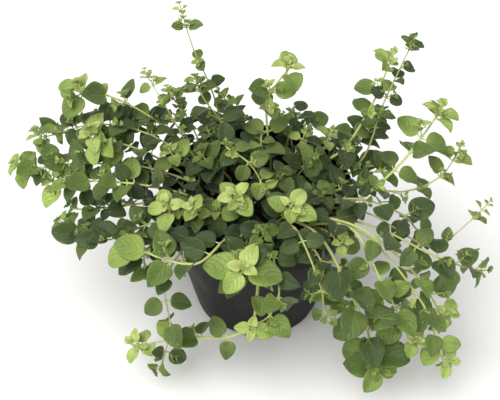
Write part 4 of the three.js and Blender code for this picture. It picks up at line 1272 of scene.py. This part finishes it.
class SoilLook(PropertyGroup):
    """What lies in and on the soil, and its colours"""
    crumbs: IntProperty(name="Crumbs", description="Lumps of peat and bark on the soil", default=1500)
    crumb_size: length_setting("Crumb size", "Width of a common crumb", 2.2)
    perlite_lumps: IntProperty(name="Perlite lumps", description="White lumps on the soil", default=90)
    perlite_size: length_setting("Perlite size", "Width of a common lump of perlite", 2.6)
    fibres: IntProperty(name="Fibres", description="Bits of root and bark on the soil", default=120)
    damp_peat: colour_setting("Damp peat", "The darkest soil", "#14100e")
    peat: colour_setting("Peat", "Common crumbs", "#261e18")
    bark: colour_setting("Bark", "The driest crumbs", "#4d3d2e")
    perlite: colour_setting("Perlite", "Clean perlite", "#ece8de")
    stained_perlite: colour_setting("Stained perlite", "Perlite stained by peat", "#b5a893")


class LeafLook(PropertyGroup):
    """Shapes and colours of the leaves and stems"""
    thickness: length_setting("Thickness", "Of a grown blade", 0.35)
    waviness: share_setting("Waviness", "Of the margin, as a share of the blade's length", 0.022)
    quilting: share_setting("Quilting", "Bulge between veins, as a share of the blade's length", 0.014)
    vein_pairs: IntProperty(name="Veins", description="Side veins to each side of the midrib", default=4)
    light_base: share_setting("Light base", "How much lighter a blade is at its stalk", 0.38)
    tuft_share: share_setting("Side shoots", "Share of young leaves with a side shoot", 0.75)
    hairs_per_cm: FloatProperty(name="Hairs", description="Hairs on each centimetre of stem", default=14)
    hair_length: length_setting("Hair length", "Of the stem's hairs", 0.9)
    hair_thickness: length_setting("Hair thickness", "At a hair's foot", 0.12)
    # The darkest green: the oldest leaves, and the leaves most darkened by painted shade deep in the crown.
    oldest: colour_setting("Oldest leaf", "Shaded leaves deep in the crown", "#29371c")
    # This colour is also where the painted shade in the vein furrows leans.
    old: colour_setting("Old leaf", "Leaves at the foot of a stem", "#3f5023")
    grown: colour_setting("Grown leaf", "Leaves halfway up a stem", "#677b35")
    young: colour_setting("Young leaf", "Leaves near a tip", "#9ab056")
    youngest: colour_setting("Youngest leaf", "Leaves that have just opened", "#bdcd78")
    rib: colour_setting("Midrib", "Midrib and veins", "#a9b672")
    underside: colour_setting("Underside", "The paler underside of a blade", "#8d9a70")
    woody: colour_setting("Woody stem", "The foot of a stem", "#6a5c42")
    stem_old: colour_setting("Old stem", "Stem above its woody foot", "#858655")
    stem: colour_setting("Stem", "Stem near its tip", "#a9b168")
    stem_young: colour_setting("Young stem", "Stem of the palest shoots", "#c9d384")


class StageLook(PropertyGroup):
    """The floor, the light and the camera"""
    floor_radius: length_setting("Floor radius", "Of the studio floor", 9000)
    floor: colour_setting("Floor", "Matt white paint", "#f4f3f1")
    world: FloatProperty(name="Surround light", description="Strength of the white surround", default=0.42)
    key_strength: FloatProperty(name="Key light", description="Strength of the broad light above left",
                                default=3.1)
    key_softness: FloatProperty(name="Key softness", description="How wide that light is",
                                default=math.radians(60), subtype="ANGLE")
    fill_power: FloatProperty(name="Fill light", description="Power of the light at the right", default=4,
                              unit="POWER")
    lens: FloatProperty(name="Lens", description="Focal length in millimetres", default=91.7)
    camera_place: FloatVectorProperty(name="Camera", description="Where the camera stands", size=3,
                                      unit="LENGTH", subtype="XYZ", default=(-0.005, -0.5435, 0.6746))
    camera_aim: FloatVectorProperty(name="Aim", description="What the camera looks at", size=3, unit="LENGTH",
                                    subtype="XYZ", default=(-0.005, 0.0, 0.0876))


def attach(piece, node):
    """Lets the piece ride on the body and stand for its CAD node."""
    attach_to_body(piece, BODY)
    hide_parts(node)


# ---------------------------------------------------------------- operators

FLOOR_SIDES = 96
# The stage: the lights' places and widths in metres, and the camera's sensor in millimetres.
KEY_PLACE = (-0.55, -0.4, 1.2)
FILL_PLACE = (1.0, -0.5, 0.9)
FILL_WIDTH = 1.2
SENSOR_WIDTH = 36


class OREGANO_OT_pot(Operator):
    """Makes the nursery pot"""
    bl_idname = "oregano.pot"
    bl_label = "Nursery Pot"

    def execute(self, context):
        look = context.scene.oregano_pot
        piece = object_of(pot_shape(look), "nursery_pot", [moulded_polypropylene(look)])
        cut_away(piece, drain_cutters())
        smooth_by_angle(piece.data, SHARPEST_POT)
        attach(piece, "pot")
        return {"FINISHED"}


class OREGANO_OT_soil(Operator):
    """Makes the soil with its crumbs, fibres and perlite"""
    bl_idname = "oregano.soil"
    bl_label = "Soil"

    def execute(self, context):
        look = context.scene.oregano_soil
        random = stream(2024)
        shape = soil_shape()
        add_crumbs(shape, look.crumbs, look.crumb_size / MM, 0.5, random, index=0, rough=1)
        add_crumbs(shape, look.perlite_lumps, look.perlite_size / MM, 0.7, random, index=1, rough=2)
        add_fibres(shape, look.fibres, random)
        piece = object_of(shape, "potting_mix_and_perlite", [potting_mix(look), expanded_perlite(look)])
        smooth_by_angle(piece.data, SHARPEST_SOIL)
        attach(piece, "soil")
        return {"FINISHED"}


class OREGANO_OT_leafy_stems(Operator):
    """Grows every leafy stem and dresses it in fine leaves"""
    bl_idname = "oregano.leafy_stems"
    bl_label = "Leafy Stems"

    def execute(self, context):
        look = context.scene.oregano_leaf
        materials = [oregano_stem(look), oregano_leaf(look)]
        turns = [between(stream(11 + 53 * stem), 33, 57) for stem in range(len(STEMS))]
        lines = [centreline(row, turn) for row, turn in zip(STEMS, turns)]
        room = Room()
        for stem, (line, row) in enumerate(zip(lines, STEMS)):
            for i, place in enumerate(line):
                room.occupy([place["at"]], stem, "", half_girth(row.girth, i, line))
        grown, left_out = grow_leaves(lines, room)
        grow_late_leaves(grown, left_out, room)
        for stem, (line, row) in enumerate(zip(lines, STEMS)):
            grown[stem] += grow_shade_leaves(line, row, stem, grown[stem], room)
        for stem, (line, row, leaves) in enumerate(zip(lines, STEMS, grown)):
            random = stream(503 + 29 * stem)
            tufts = [
                grow_tuft(line, row, stem, mother, room, random)
                for mother in leaves
                if mother["pair"] >= BARE_PAIRS
                and next(random) < look.tuft_share * (1 - SHOOT_LOSS * mother["age"])
            ]
            name = f"leafy_stem_{stem + 1:02d}"
            skin = dress_stem(line, row, leaves, [tuft for tuft in tufts if tuft["leaves"]], random, look)
            attach(skin.build(f"{name}_dressed", materials), name)
        return {"FINISHED"}


class OREGANO_OT_stage(Operator):
    """Sets up the floor, the soft lights, the surround and the camera"""
    bl_idname = "oregano.stage"
    bl_label = "Stage"

    def execute(self, context):
        scene = context.scene
        look = scene.oregano_stage
        shape = bmesh.new()
        bmesh.ops.create_circle(shape, cap_ends=True, segments=FLOOR_SIDES, radius=look.floor_radius)
        floor = object_of(shape, "studio_floor", [painted_board(look)])
        world = bpy.data.worlds.new("white_surround")
        world.use_nodes = True
        surround = world.node_tree.nodes["Background"].inputs
        surround["Color"].default_value = (1, 1, 1, 1)
        surround["Strength"].default_value = look.world
        scene.world = world
        key = bpy.data.lights.new("key_light", "SUN")
        key.energy = look.key_strength
        key.angle = look.key_softness
        fill = bpy.data.lights.new("fill_light", "AREA")
        fill.shape = "DISK"
        fill.size = FILL_WIDTH
        fill.energy = look.fill_power
        for data, place in ((key, KEY_PLACE), (fill, FILL_PLACE)):
            light = bpy.data.objects.new(data.name, data)
            light.location = place
            light.rotation_euler = light.location.to_track_quat("Z", "Y").to_euler()
            scene.collection.objects.link(light)
        data = bpy.data.cameras.new("camera")
        data.lens = look.lens
        data.sensor_width = SENSOR_WIDTH
        camera = bpy.data.objects.new("camera", data)
        camera.location = look.camera_place
        ahead = Vector(look.camera_aim) - camera.location
        camera.rotation_euler = ahead.to_track_quat("-Z", "Y").to_euler()
        scene.collection.objects.link(camera)
        scene.camera = camera
        scene.view_settings.view_transform = "Standard"
        return {"FINISHED"}


class OREGANO_PT_panel(Panel):
    """Lists the steps that make the plant"""
    bl_label = "Potted Oregano"
    bl_space_type = "VIEW_3D"
    bl_region_type = "UI"
    bl_category = "Oregano"

    def draw(self, context):
        """Puts a button for each step and a box for each group of settings in the sidebar"""
        for operator in OPERATORS:
            self.layout.operator(operator.bl_idname)
        for group in SETTINGS:
            box = self.layout.box()
            for name in SETTINGS[group].__annotations__:
                box.prop(getattr(context.scene, group), name)


SETTINGS = {
    "oregano_pot": PotLook,
    "oregano_soil": SoilLook,
    "oregano_leaf": LeafLook,
    "oregano_stage": StageLook,
}
OPERATORS = (OREGANO_OT_stage, OREGANO_OT_pot, OREGANO_OT_soil, OREGANO_OT_leafy_stems)


def register():
    """Adds the settings, the operators and the panel to the session."""
    for kind in (*SETTINGS.values(), *OPERATORS, OREGANO_PT_panel):
        bpy.utils.register_class(kind)
    for group, kind in SETTINGS.items():
        setattr(bpy.types.Scene, group, PointerProperty(type=kind))


def unregister():
    """Takes them out again."""
    for group in SETTINGS:
        delattr(bpy.types.Scene, group)
    for kind in (OREGANO_PT_panel, *reversed(OPERATORS), *reversed(SETTINGS.values())):
        bpy.utils.unregister_class(kind)


def main():
    """Makes the stage and the plant."""
    register()
    bpy.ops.oregano.stage()
    bpy.ops.oregano.pot()
    bpy.ops.oregano.soil()
    bpy.ops.oregano.leafy_stems()


if __name__ == "__main__":
    main()
